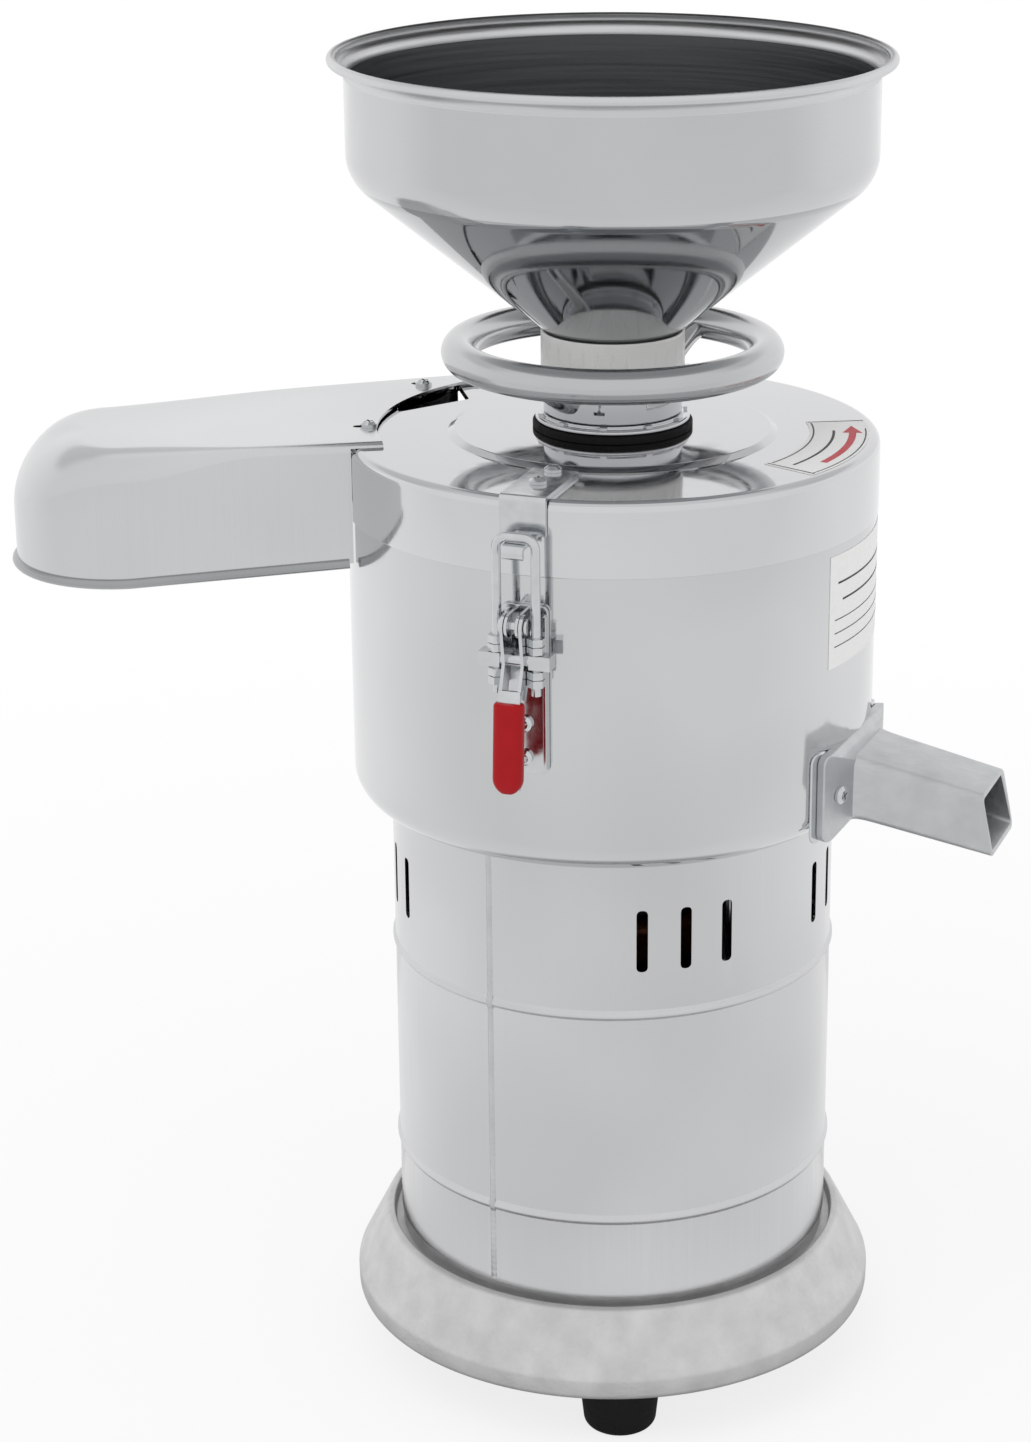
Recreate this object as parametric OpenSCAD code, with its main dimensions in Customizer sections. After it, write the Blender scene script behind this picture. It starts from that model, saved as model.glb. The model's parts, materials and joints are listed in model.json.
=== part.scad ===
// Nut butter grinder: a hopper and an adjusting handwheel over a grinding drum,
// with a residue hood on the left and a milk spout on the right, all carried by
// an upright motor in a polished jacket on a cast base with three feet.
// +Z is up and -Y is the front. The origin is on the motor's axis, at the level
// that the feet stand on. Azimuths run from the front towards +X, in degrees.

/* [Base] */
// Radius of the cast base at the floor side
base_r = 121; // [118:1:126]
// Height of the underside of the base
base_z = 26; // [24:1:28]
// Height of the base's upper rim
base_top_z = 64.5; // [63:0.5:66]
// Radius of the circle that the feet stand on
foot_circle_r = 94; // [88:1:94]
// Radius of a rubber foot
foot_r = 18.5; // [15:0.5:19]

/* [Motor jacket] */
// Outer radius of the jacket
jacket_r = 100; // [99:0.5:100.5]
// Height of the jacket's lower bead
low_bead_z = 105.5; // [98:0.5:120]
// Height of the jacket's upper bead
high_bead_z = 205; // [190:0.5:210]
// Width of one vent slot
vent_w = 5; // [3:0.5:6]
// Length of one vent slot
vent_len = 28.7; // [20:0.1:32]

/* [Drum and lid] */
// Outer radius of the drum
drum_r = 116.5; // [116.5:0.1:116.6]
// Height of the drum's floor
drum_z = 277; // [277:1:277]
// Height of the joint between drum and lid
seam_z = 408.6; // [408:0.1:409]
// Height of the lid's flat top
lid_top_z = 441; // [441:1:441]
// Radius of the raised disc on the lid
disc_r = 69.7; // [66:0.1:72]

/* [Handwheel] */
// Radius of the handwheel's ring, to the middle of its bar
wheel_r = 67; // [62:1:72]
// Radius of the handwheel's bar
wheel_bar_r = 7.5; // [6:0.5:8.5]
// Height of the handwheel's ring
wheel_z = 476.6; // [474:0.1:478]

/* [Hopper] */
// Radius of the hopper's straight wall
hopper_r = 113.5; // [108:0.5:118]
// Height of the hopper's lip
hopper_top_z = 605; // [600:1:612]
// Height where the hopper's cone leaves the collar
cone_z = 481; // [481:1:481]
// Thickness of the hopper's sheet
hopper_t = 1.5; // [1.2:0.1:2]

/* [Hood and spout] */
// Radius of the hood's round tip
hood_tip_r = 47; // [44:1:50]
// Height of the hood's rim at its tip
hood_rim_z = 386; // [384:1:388]
// Azimuth of the milk spout's plate
spout_az = 67.5; // [64:0.5:70]
// Azimuth of its tube
tube_az = 70.2; // [68:0.1:72]
// Reach of the tube's mouth from the axis
spout_reach = 185; // [175:1:195]

/* [Latches] */
// Azimuth of the front latch; the rear one is opposite
latch_az = -18; // [-24:1:-12]
// Spacing of the two legs of a latch bolt
bail_w = 17; // [17:0.5:18]

/* [Hidden] */
$fn = 96;
cut = 1;               // how far a cutter runs past what it cuts
gap = 0.05;            // clearance between pieces that fit into each other

foot_azimuths = [2, 122, 242];

// Motor
deck_z = 62;           // top of the base's deck
jacket_z = 67;         // ledge on which the jacket stands
jacket_top_z = 277;
jacket_t = 1.2;
bead_h = 5;
bead_out = 1.2;        // how far a bead stands out of the jacket
vent_z = 225.6;        // lower end of the vent slots
vent_step = 11.2;      // angle between two slots of a group
vent_groups = [-78, 18.5, 75, 138, -142];
seam_az = -32.4;       // azimuth of the jacket's weld
shaft_r = 10;
shaft_mid_r = 12.5;
bearing_r = 23.5;
bearing_h = 14;
low_bearing_z = 64;
high_bearing_z = 264;
flange_z = 262;        // underside of the bearing flange
hub_top_z = 294;       // top of the flange's sealed hub
stator_z = 120;
stator_h = 90;
stator_r = 82;
stator_bore = 44;
air_gap = 0.6;
tie_circle = 74;
tie_r = 4;
slot_count = 24;
fan_z = 236;
fan_r = 65;
blade_count = 9;

// Grinding chamber
drum_t = 2.5;
drum_fillet = 13;
drum_hole_r = 32;
spout_root_z = 297;    // middle of the spout's tube at the drum
spout_mouth_z = 283.5; // and at its mouth
spout_tilt = 10.6;     // fall of the tube
spout_plate_z = 297.5; // middle of its plate
spout_screw_azimuths = [53.6, 83.9];
spout_hole_w = 34;     // opening in the drum's wall
spout_hole_z = 286.5;
spout_hole_h = 20;
m4_hole_r = 2.05;      // clearance hole of the screws
basket_floor_z = 303;
stone_r = 50;
stone_z = 328;         // underside of the lower stone
stone_h = 24;
stone_gap = 0.4;
holder_z = stone_z + 2 * stone_h + stone_gap + 0.05;
holder_t = 12;
tube_r = 22;
tube_t = 3;
tube_z = 378;
sleeve_r = 26;
sleeve_z = 407;
boss_z = 408;
pin_circle = 36;
pin_r = 3.5;

// Lid
lid_r = 117;
lid_t = 3;
gasket_t = 0.5;
disc_rise = 2;
neck_z = lid_top_z + disc_rise;
step_z = neck_z + 3.6; // underside of the sleeve's flange
hub_z = step_z + 3.6;  // underside of the handwheel's hub
collar_z = 464;
collar_top_z = 486;
collar_r = 31.3;
bowl_bend_r = 20;      // bend between the hopper's wall and its cone
bowl_bend_z = 564;
cone_lean = 51;         // of the cone's wall from upright
lip_flare_r = 5;

// Hood
hood_tip = [-215.5, -4.5];
hood_near = [-92, -23];
hood_far = [-45, 94];
hood_corner_r = 7;
hood_root_z = 391;
hood_t = 2;
hood_top_z = lid_top_z + 2.2;
plate_inner_r = 103;
hood_screw_at = [[-106.5, -3.5], [-86.5, 70]];

// Latch, in its own frame with the drum's wall towards +Y
plate_w = 21;
pivot = [130, 391];    // radius and height of the lever's pivot
trunnion = [127.5, 376];
bail_top_z = 428;
bail_bar_r = 2;
lever_t = 1.4;
cheek_x = 1.7;
lever_x = 3.3;
grip_at = [138.36, 341];
rear_az = latch_az + 180;
plate_screw_z = [330, 345];
hook_screw_r = [80, 99];
lip_z = 425.5;         // top of the hook's lip, under the bolt's bar
hook_lip_w = 9.2;      // fits between the bends of the bolt

// ---------- shared shapes ----------

module ring(r_out, r_in, z, h)
    translate([0, 0, z]) difference() {
        cylinder(h = h, r = r_out);
        translate([0, 0, -cut]) cylinder(h = h + 2 * cut, r = r_in);
    }

// Turns a piece drawn at the front to its azimuth
module at_azimuth(a) rotate([0, 0, a]) children();

// A slot with round ends, standing up, cut along Y
module upright_slot(w, len, depth)
    rotate([90, 0, 0]) linear_extrude(depth) {
        translate([-w / 2, w / 2]) square([w, len - w]);
        for (y = [w / 2, len - w / 2]) translate([0, y]) circle(r = w / 2, $fn = 24);
    }

// A rectangle with round corners, about its middle
module round_rect(w, h, r) {
    square([w - 2 * r, h], center = true);
    square([w, h - 2 * r], center = true);
    for (x = [-1, 1], y = [-1, 1])
        translate([x * (w / 2 - r), y * (h / 2 - r)]) circle(r = r, $fn = 32);
}

// A straight bar of a flat outline, from p to q
module bar2d(p, q, w) {
    d = q - p;
    translate(p) rotate(atan2(d[1], d[0])) translate([0, -w / 2]) square([norm(d), w]);
}

// Points of an arc, for polygons
function arc(c, r, from, to, steps) =
    [for (i = [0:steps]) let (a = from + (to - from) * i / steps) c + r * [cos(a), sin(a)]];

// A pan head screw with a crossed recess; its head stands on z = 0
module pan_screw(head_r, shank_r, len) {
    difference() {
        union() {
            cylinder(h = head_r * 0.35, r = head_r, $fn = 40);
            translate([0, 0, head_r * 0.35])
                cylinder(h = head_r * 0.3, r1 = head_r, r2 = head_r * 0.6, $fn = 40);
        }
        for (a = [0, 90]) rotate([0, 0, a + 20])
            translate([-head_r * 0.55, -head_r * 0.11, head_r * 0.35])
                cube([head_r * 1.1, head_r * 0.22, head_r]);
    }
    translate([0, 0, -len]) cylinder(h = len, r = shank_r, $fn = 32);
}

// ---------- base ----------

module base_casting() color("#c9c9c8") difference() {
    union() {
        rotate_extrude() polygon([[base_r - 3, base_z], [base_r, base_z + 3],
            [base_r, base_z + 10], [106.5, base_top_z - 1], [105.5, base_top_z],
            [103.6, base_top_z], [103, deck_z - 3], [99.2, deck_z - 3], [99.2, jacket_z],
            [96.5, jacket_z], [96.5, deck_z], [30, deck_z], [30, low_bearing_z + bearing_h + 2],
            [bearing_r + gap, low_bearing_z + bearing_h + 2],
            [bearing_r + gap, low_bearing_z], [14, low_bearing_z], [14, deck_z - 8],
            [96, deck_z - 8], [112, base_z + 10], [112, base_z]]);
        for (a = foot_azimuths) at_azimuth(a) translate([0, -foot_circle_r, base_z])
            cylinder(h = deck_z - 8 - base_z + 1, r = 14);
        for (a = [30:60:330]) at_azimuth(a) translate([-2.5, -110, deck_z - 18])
            cube([5, 80, 11]);
    }
    for (a = foot_azimuths) at_azimuth(a) translate([0, -foot_circle_r, base_z - cut])
        cylinder(h = 19 + cut, r = 3 + gap, $fn = 40);
    for (a = [45:90:315]) at_azimuth(a) translate([0, -tie_circle, deck_z - 9])
        cylinder(h = 10, r = tie_r + gap, $fn = 40);
}

module foot(a) color("#1b1b1c") at_azimuth(a) translate([0, -foot_circle_r, 0])
    rotate_extrude() polygon(concat([[6.5, 0], [foot_r - 6, 0]],
        arc([foot_r - 6, 4], 4, -70, -10, 5),
        [[foot_r, base_z - 4], [foot_r - 1, base_z], [3.1, base_z], [3.1, 10], [6.5, 10]]));
module foot_front() foot(foot_azimuths[0]);
module foot_right() foot(foot_azimuths[1]);
module foot_left() foot(foot_azimuths[2]);

module foot_screws() color("silver") for (a = foot_azimuths)
    at_azimuth(a) translate([0, -foot_circle_r, 0]) {
        difference() {
            translate([0, 0, 5.5]) cylinder(h = 4.5, r = 6.3, $fn = 40);
            translate([0, 0, 5]) cylinder(h = 3, r = 3, $fn = 6);
        }
        translate([0, 0, 9.9]) cylinder(h = 33, r = 3, $fn = 32);
    }

// ---------- jacket and its fittings ----------

module bead_profile(z, r) polygon(concat([[r - 0.6, z - bead_h / 2]],
    [for (i = [0:8]) [r + bead_out * sin(i * 22.5), z - bead_h / 2 + bead_h * i / 8]],
    [[r - 0.6, z + bead_h / 2]]));

module motor_jacket() color("#c4c7cb") difference() {
    union() {
        ring(jacket_r, jacket_r - jacket_t, jacket_z, jacket_top_z - jacket_z);
        for (z = [low_bead_z, high_bead_z]) rotate_extrude() bead_profile(z, jacket_r);
        at_azimuth(seam_az) translate([-1.3, -jacket_r - 0.25, jacket_z + 1])
            cube([2.6, 0.7, jacket_top_z - jacket_z - 3]);
    }
    for (g = vent_groups, i = [-1:1]) at_azimuth(g + i * vent_step)
        translate([0, -90, vent_z]) upright_slot(vent_w, vent_len, 20);
    at_azimuth(180) translate([-14.2, -110, 136]) cube([28.4, 20, 22.4]);
    at_azimuth(180) translate([0, -90, 86]) rotate([90, 0, 0]) cylinder(h = 20, r = 8.1);
}

module cable_gland() color("#202022") at_azimuth(180) translate([0, -jacket_r, 86])
    rotate([90, 0, 0]) difference() {
        union() {
            translate([0, 0, -12]) cylinder(h = 14, r = 8);
            translate([0, 0, 0.2]) cylinder(h = 6, r = 12.5, $fn = 6);
            translate([0, 0, 6]) cylinder(h = 9, r1 = 10.5, r2 = 8.5);
            translate([0, 0, -6.2]) cylinder(h = 4, r = 12, $fn = 6);
        }
        translate([0, 0, -13]) cylinder(h = 30, r = 4.5);
    }

module switch_housing() color("#1d1d1f") at_azimuth(180) difference() {
    union() {
        translate([-17, -jacket_r - 2.6, 133]) cube([34, 2.2, 28.4]);
        translate([-14, -jacket_r - 1, 136.2]) cube([28, 17, 22]);
    }
    translate([-11.5, -jacket_r - 4, 138.2]) cube([23, 16, 18]);
    translate([-14, -jacket_r + 8, 147.2]) rotate([0, 90, 0]) cylinder(h = 28, r = 1.5, $fn = 32);
}

// The rocker turns on a pin along its width; its face is two shallow slopes
module switch_rocker() color("#a51f1c") at_azimuth(180) translate([0, -jacket_r + 8, 147.2]) {
    rotate([90, 0, 90]) translate([0, 0, -11]) linear_extrude(22)
        polygon([[-4, -6.4], [-9.3, -6.6], [-10.6, 0], [-12.6, 6.2], [-4, 6], [3, 2], [3, -2]]);
    translate([-13.9, 0, 0]) rotate([0, 90, 0]) cylinder(h = 27.8, r = 1.45, $fn = 32);
}

// ---------- motor ----------

module bearing_flange() color("#bdbdbc") difference() {
    rotate_extrude() polygon([[98.7, flange_z + 4], [98.7, drum_z - 0.05], [drum_hole_r - 0.2,
        drum_z - 0.05], [drum_hole_r - 0.2, hub_top_z], [18, hub_top_z], [18, 282],
        [14, 282], [14, high_bearing_z + bearing_h], [bearing_r + gap, high_bearing_z + bearing_h],
        [bearing_r + gap, flange_z], [84, flange_z]]);
    for (a = [45:90:315]) at_azimuth(a) translate([0, -tie_circle, flange_z - cut])
        cylinder(h = 13, r = tie_r + gap, $fn = 40);
}

module stator_core() color("#6d6f73") difference() {
    ring(stator_r, stator_bore, stator_z, stator_h);
    for (i = [0:slot_count - 1]) at_azimuth((i + 0.5) * 360 / slot_count)
        translate([-2.5, -61, stator_z - cut]) cube([5, 14, stator_h + 2 * cut]);
    for (a = [45:90:315]) at_azimuth(a) translate([0, -tie_circle, stator_z - cut])
        cylinder(h = stator_h + 2 * cut, r = tie_r + gap, $fn = 40);
}

module stator_windings() color("#b4622d") {
    for (z = [stator_z - 22, stator_z + stator_h + 0.05]) translate([0, 0, z])
        rotate_extrude() translate([54, 11]) round_rect(16, 21.8, 6);
    for (i = [0:slot_count - 1]) at_azimuth((i + 0.5) * 360 / slot_count)
        translate([-2.2, -60.5, stator_z - 0.5]) cube([4.4, 12.5, stator_h + 1]);
}

module spacer_sleeves() color("silver") for (a = [45:90:315])
    at_azimuth(a) translate([0, -tie_circle, 0]) {
        ring(7, tie_r + gap, deck_z + 0.02, stator_z - deck_z - 0.04);
        ring(7, tie_r + gap, stator_z + stator_h + 0.02, flange_z - stator_z - stator_h - 0.04);
    }

module tie_bolts() color("silver") for (a = [45:90:315])
    at_azimuth(a) translate([0, -tie_circle, 0]) {
        translate([0, 0, deck_z - 14]) cylinder(h = flange_z + 11 - deck_z + 14, r = tie_r, $fn = 40);
        translate([0, 0, deck_z - 14.5]) cylinder(h = 6.4, r = 7.5, $fn = 6);
    }

// Ball bearing: one ring with the groove between its races on both faces
module bearing(z) rotate_extrude() polygon([[shaft_r, z], [14, z], [14, z + 2], [19, z + 2],
    [19, z], [bearing_r, z], [bearing_r, z + bearing_h], [19, z + bearing_h],
    [19, z + bearing_h - 2], [14, z + bearing_h - 2], [14, z + bearing_h], [shaft_r, z + bearing_h]]);
module lower_bearing() color("silver") bearing(low_bearing_z);
module upper_bearing() color("silver") bearing(high_bearing_z - 0.1);

module run_capacitor() color("#d8d8d4") at_azimuth(-100) translate([0, -79.5, deck_z + 0.05])
    cylinder(h = 46, r = 14);

module terminal_block() color("#efe9d8") at_azimuth(180) difference() {
    translate([-22, -84, deck_z + 0.05]) cube([44, 14, 13]);
    for (x = [-15:10:15]) translate([x, -77, 68]) cylinder(h = 10, r = 2.5, $fn = 24);
}

module rotor_core() color("#8d8f93") {
    ring(stator_bore - air_gap, shaft_mid_r + 0.02, stator_z, stator_h);
    ring(41, 28, stator_z - 7, 7);
    ring(41, 28, stator_z + stator_h, 7);
}

module motor_shaft() color("#b9bcc0") {
    sections = [[59, low_bearing_z + bearing_h + 0.3, shaft_r - gap],
        [low_bearing_z + bearing_h + 0.3, high_bearing_z - 0.4, shaft_mid_r],
        [high_bearing_z - 0.4, stone_z + 12, shaft_r - gap], [stone_z + 12, stone_z + 27, 8]];
    for (s = sections) translate([0, 0, s[0]]) cylinder(h = s[1] - s[0], r = s[2]);
}

module cooling_fan() color("#33363a") {
    ring(26, shaft_mid_r + 0.02, fan_z, 16);
    ring(fan_r - 3, 24, fan_z, 2.5);
    for (i = [0:blade_count - 1]) at_azimuth(i * 360 / blade_count)
        translate([-1.2, -fan_r, fan_z + 0.5]) cube([2.4, fan_r - 24, 14]);
}

module shaft_seal() color("#2a2a2b") rotate_extrude() polygon([[shaft_r + gap, 284], [14, 286],
    [14, 283], [17.95, 283], [17.95, 292], [14, 292], [shaft_r + gap, 288]]);

module slinger_ring() color("#2a2a2b") rotate_extrude() polygon([[shaft_r, 295.5], [13, 295.5],
    [24, 294.6], [24.5, 296], [15, 299], [15, 302.8], [shaft_r, 302.8]]);

// ---------- grinding chamber ----------

module drum() color("#aeb1b3") difference() {
    union() {
        rotate_extrude() polygon(concat([[drum_hole_r, drum_z]],
            arc([drum_r - drum_fillet, drum_z + drum_fillet], drum_fillet, -90, 0, 8),
            [[drum_r, seam_z], [drum_r - drum_t, seam_z]],
            arc([drum_r - drum_fillet, drum_z + drum_fillet], drum_fillet - drum_t, 0, -90, 8),
            [[drum_hole_r, drum_z + drum_t]]));
        ring(drum_hole_r + 3, drum_hole_r, drum_z, 10);
    }
    spout_hole();
    spout_screw_holes();
    for (a = [latch_az, rear_az], z = plate_screw_z) at_azimuth(a) translate([0, -110, z])
        rotate([90, 0, 0]) cylinder(h = 10, r = m4_hole_r, $fn = 32);
}

// Opening of the spout in the drum's wall, and the holes of its screws
module spout_hole() at_azimuth(tube_az)
    translate([-spout_hole_w / 2, -drum_r - 8, spout_hole_z]) cube([spout_hole_w, 20, spout_hole_h]);
module at_spout_screws() for (a = spout_screw_azimuths)
    at_azimuth(a) translate([0, 0, spout_plate_z]) rotate([90, 0, 0]) children();
module spout_screw_holes() at_spout_screws() translate([0, 0, drum_r - 4])
    cylinder(h = 14, r = m4_hole_r, $fn = 32);

module spout_outline(w, h, r_in, r_out, z) at_azimuth(spout_az) intersection() {
    ring(r_out, r_in, z - h, 2 * h);
    translate([0, -60, z]) rotate([90, 0, 0]) linear_extrude(100) round_rect(w, h, 5);
}

// Tapered tube of the spout: its top view and its side view drawn out and crossed
module spout_tube(root_w, root_h, mouth_w, mouth_h, mouth_z, r_root, r_mouth, slant) intersection() {
    translate([0, 0, 250]) linear_extrude(100) polygon([[-root_w / 2, -r_root],
        [root_w / 2, -r_root], [mouth_w / 2, -r_mouth - slant], [-mouth_w / 2, -r_mouth - slant]]);
    rotate([90, 0, 90]) linear_extrude(2 * root_w, center = true) polygon([
        [-r_root, spout_root_z - root_h / 2], [-r_root, spout_root_z + root_h / 2],
        [-r_mouth - slant, mouth_z + mouth_h / 2], [-r_mouth + slant, mouth_z - mouth_h / 2]]);
}

module milk_spout() color("#a9abad") difference() {
    union() {
        spout_outline(79, 40, drum_r + 1.3, drum_r + 5.3, spout_plate_z);
        at_azimuth(tube_az) intersection() {
            spout_tube(45.4, 29.1, 40, 28.1, spout_mouth_z, 113, spout_reach, -3.5);
            translate([0, -149, (spout_root_z + spout_mouth_z) / 2]) rotate([spout_tilt, 0, 0])
                rotate([0, 45, 0]) cube([46, 100, 46], center = true);
        }
    }
    at_azimuth(tube_az) spout_tube(38, 22, 34, 23, spout_mouth_z - 3.3, 108, 200, 0);
    ring(drum_r + 1.3, 60, 270, 60);
    spout_screw_holes();
}

module spout_gasket() color("#d9d9d6") difference() {
    spout_outline(86, 41, drum_r + 0.05, drum_r + 1.25, spout_plate_z);
    spout_hole();
    spout_screw_holes();
}

module spout_screws() color("silver") at_spout_screws() translate([0, 0, drum_r + 5.35])
    pan_screw(4, 2, 9);

module strainer_basket() color("#c6c9cc") {
    rotate_extrude() polygon([[shaft_r + 0.02, basket_floor_z], [40, basket_floor_z],
        [99, 405], [103, 405], [103, 406.5], [98, 406.5], [38.8, basket_floor_z + 1.6],
        [24, basket_floor_z + 1.6], [24, stone_z - 0.1], [shaft_r + 0.02, stone_z - 0.1]]);
    for (i = [0:2]) ring(44.5 + 17 * i, 43 + 17 * i, basket_floor_z + 6.1 + 30 * i, 1.8);
}

module lower_stone() color("#8f8780") difference() {
    ring(stone_r, shaft_r + 0.02, stone_z, stone_h);
    translate([0, 0, stone_z + 12]) cylinder(h = stone_h, r = 20);
    for (i = [0:11]) at_azimuth(30 * i) translate([-1, -stone_r - cut, stone_z + stone_h - 1.5])
        cube([2, 22, 3]);
}

module stone_nut() color("silver") translate([0, 0, stone_z + 12.05]) difference() {
    union() {
        cylinder(h = 2, r = 15);
        cylinder(h = 11, r = 13.5, $fn = 6);
    }
    translate([0, 0, -cut]) cylinder(h = 14, r = 8.02);
}

module upper_stone() color("#8f8780") difference() {
    ring(stone_r, 20, stone_z + stone_h + stone_gap, stone_h);
    translate([0, 0, stone_z + stone_h + stone_gap - 0.01]) cylinder(h = 5, r1 = 30, r2 = 20);
}

module stone_holder() color("#b9bbbd") difference() {
    union() {
        ring(stone_r + 2, tube_r + 0.02, holder_z, holder_t);
        ring(sleeve_r - 0.5, tube_r + 0.02, holder_z, sleeve_z - 0.05 - holder_z);
    }
    for (a = [90, 270]) at_azimuth(a) translate([0, -pin_circle, holder_z - cut])
        cylinder(h = holder_t + 2 * cut, r = pin_r + 0.08, $fn = 48);
}

module feed_tube() color("#c8cbce") ring(tube_r, tube_r - tube_t, tube_z, cone_z - 3 - tube_z);

// Turned nylon collar with fine ribs round it and a conical seat for the hopper
module nylon_collar() color("#eeeeec") difference() {
    rotate_extrude() polygon([[tube_r + 0.02, collar_z], [collar_r - 1, collar_z],
        [collar_r, collar_z + 1], [collar_r, collar_top_z - 1], [collar_r - 0.4, collar_top_z],
        [30.25, collar_top_z], [23.5, cone_z], [tube_r + 0.02, cone_z - 0.8]]);
    for (a = [0:12:348]) at_azimuth(a) translate([0, -collar_r - 0.5, collar_z + 3])
        cylinder(h = 14, r = 0.9, $fn = 16);
}

// ---------- lid ----------

module lid() color("#c9ccd0") difference() {
    union() {
        rotate_extrude() polygon(concat([[27, lid_top_z - lid_t], [lid_r - lid_t, lid_top_z - lid_t],
            [lid_r - lid_t, seam_z + 2], [lid_r - lid_t - 0.2, seam_z + 1.9],
            [lid_r - lid_t - 0.2, seam_z + gasket_t], [lid_r, seam_z + gasket_t]],
            arc([lid_r - 4, lid_top_z - 4], 4, 0, 90, 6),
            [[disc_r + 2, lid_top_z]],
            arc([disc_r - 0.5, lid_top_z + disc_rise - 1], 1, 60, 90, 3), [[27, neck_z]]));
        ring(lid_r - lid_t - 0.1, lid_r - lid_t - 3, seam_z - 4, 9);
    }
    residue_window();
    residue_notch();
    for (p = hood_screw_at) translate([p[0], p[1], lid_top_z - 6]) cylinder(h = 9, r = 1.55, $fn = 24);
    for (a = [latch_az, rear_az], r = hook_screw_r) at_azimuth(a) translate([0, -r, lid_top_z - 6])
        cylinder(h = 9, r = m4_hole_r, $fn = 32);
}

// Opening in the lid's wall through which the residue leaves into the hood
module residue_window() rotate([0, 0, 120]) translate([0, 0, seam_z + 5])
    rotate_extrude(angle = 66) translate([lid_r - 12, 0]) square([16, 22]);

// Wedge-shaped cut in the lid's top beside the hood
module residue_notch() translate([0, 0, lid_top_z - lid_t - cut])
    linear_extrude(lid_t + 2 * cut) intersection() {
        polygon([[-95.5, 29.6], [-65, 53], [-72, 86], [-130, 130], [-130, 40], [-99, 31]]);
        circle(r = plate_inner_r);
    }

module lid_gasket() color("#55575a") ring(drum_r - 0.5, drum_r - drum_t,
    seam_z + 0.02, gasket_t - 0.04);

module lid_boss() color("#b9bbbd") ring(44, sleeve_r + gap, boss_z, lid_top_z - lid_t - boss_z - 0.02);

module guide_pins() color("silver") for (a = [90, 270])
    at_azimuth(a) translate([0, -pin_circle, 383]) cylinder(h = boss_z - 383.02, r = pin_r, $fn = 48);

// Outline of the hood: round tip, two tight corners against the lid
module hood_solid(inset, z_tip, z_root, z_top, dome) hull() {
    translate([hood_tip[0], hood_tip[1], 0]) rotate_extrude($fn = 60)
        polygon(concat([[0, z_tip], [hood_tip_r - inset, z_tip]],
            arc([hood_tip_r - inset - dome, z_top - dome], dome, 0, 90, 8), [[0, z_top]]));
    for (p = [hood_near, hood_far]) translate([p[0], p[1], 0]) rotate_extrude($fn = 28)
        polygon([[0, z_root], [hood_corner_r - inset, z_root], [hood_corner_r - inset, z_top - 4],
            [hood_corner_r - inset - 1, z_top - 1], [hood_corner_r - inset - 4, z_top], [0, z_top]]);
}

module residue_hood() color("#a3a6a9") difference() {
    union() {
        hood_solid(0, hood_rim_z, hood_root_z, hood_top_z, 34);
        hood_solid(-2.2, hood_rim_z, hood_root_z, hood_root_z + 3, 0.5);
    }
    hood_solid(hood_t, hood_rim_z - 60, hood_root_z - 60, hood_top_z - hood_t, 32);
    translate([0, 0, 370]) cylinder(h = lid_top_z + 0.05 - 370, r = lid_r + 0.15);
    translate([0, 0, lid_top_z - 5]) cylinder(h = 12, r = plate_inner_r);
    for (p = hood_screw_at) translate([p[0], p[1], lid_top_z]) rotate([0, 0, atan2(p[1], p[0])]) {
        translate([0, -1.8, -2]) cube([5, 3.6, 8]);
        for (x = [0, 5]) translate([x, 0, -2]) cylinder(h = 8, r = 1.8, $fn = 24);
    }
}

module hood_screws() color("silver") for (p = hood_screw_at)
    translate([p[0], p[1], hood_top_z + 0.02]) pan_screw(3.8, 1.5, 7);

module neck_seal() color("#1f1f20") ring(35, sleeve_r + 1, neck_z + 0.02, step_z - neck_z - 0.1);

// ---------- handwheel ----------

module threaded_sleeve() color("#bcbec1") {
    ring(sleeve_r, tube_r + gap, sleeve_z, step_z - sleeve_z + 1);
    ring(33.8, tube_r + gap, step_z, 2.2);
    ring(31, tube_r + gap, step_z + 2.1, 1.4);
    for (i = [0:9]) at_azimuth(36 * i - 7) translate([-1.6, -33.2, step_z + 2])
        cube([3.2, 4, 1.5]);
}

module spoke(a, drop) at_azimuth(a) hull() {
    translate([0, -24, hub_z + 8]) rotate([90, 0, 0]) cylinder(h = 1, r = 5, $fn = 24);
    translate([0, -wheel_r + 5, wheel_z - 2 - drop]) rotate([90, 0, 0])
        cylinder(h = 1, r = 4, $fn = 24);
}

module handwheel() color("#b2b5b8") difference() {
    union() {
        ring(30.3, tube_r + gap, hub_z, collar_z - hub_z - 0.1);
        translate([0, 0, wheel_z]) rotate_extrude() translate([wheel_r, 0])
            circle(r = wheel_bar_r, $fn = 48);
        spoke(142, 0);
        spoke(-38, 0);
    }
    translate([0, 0, hub_z - cut]) cylinder(h = 40, r = tube_r + gap);
    translate([0, 0, collar_z - 0.1]) cylinder(h = 30, r = collar_r + 0.3);
}

// ---------- hopper ----------

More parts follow.
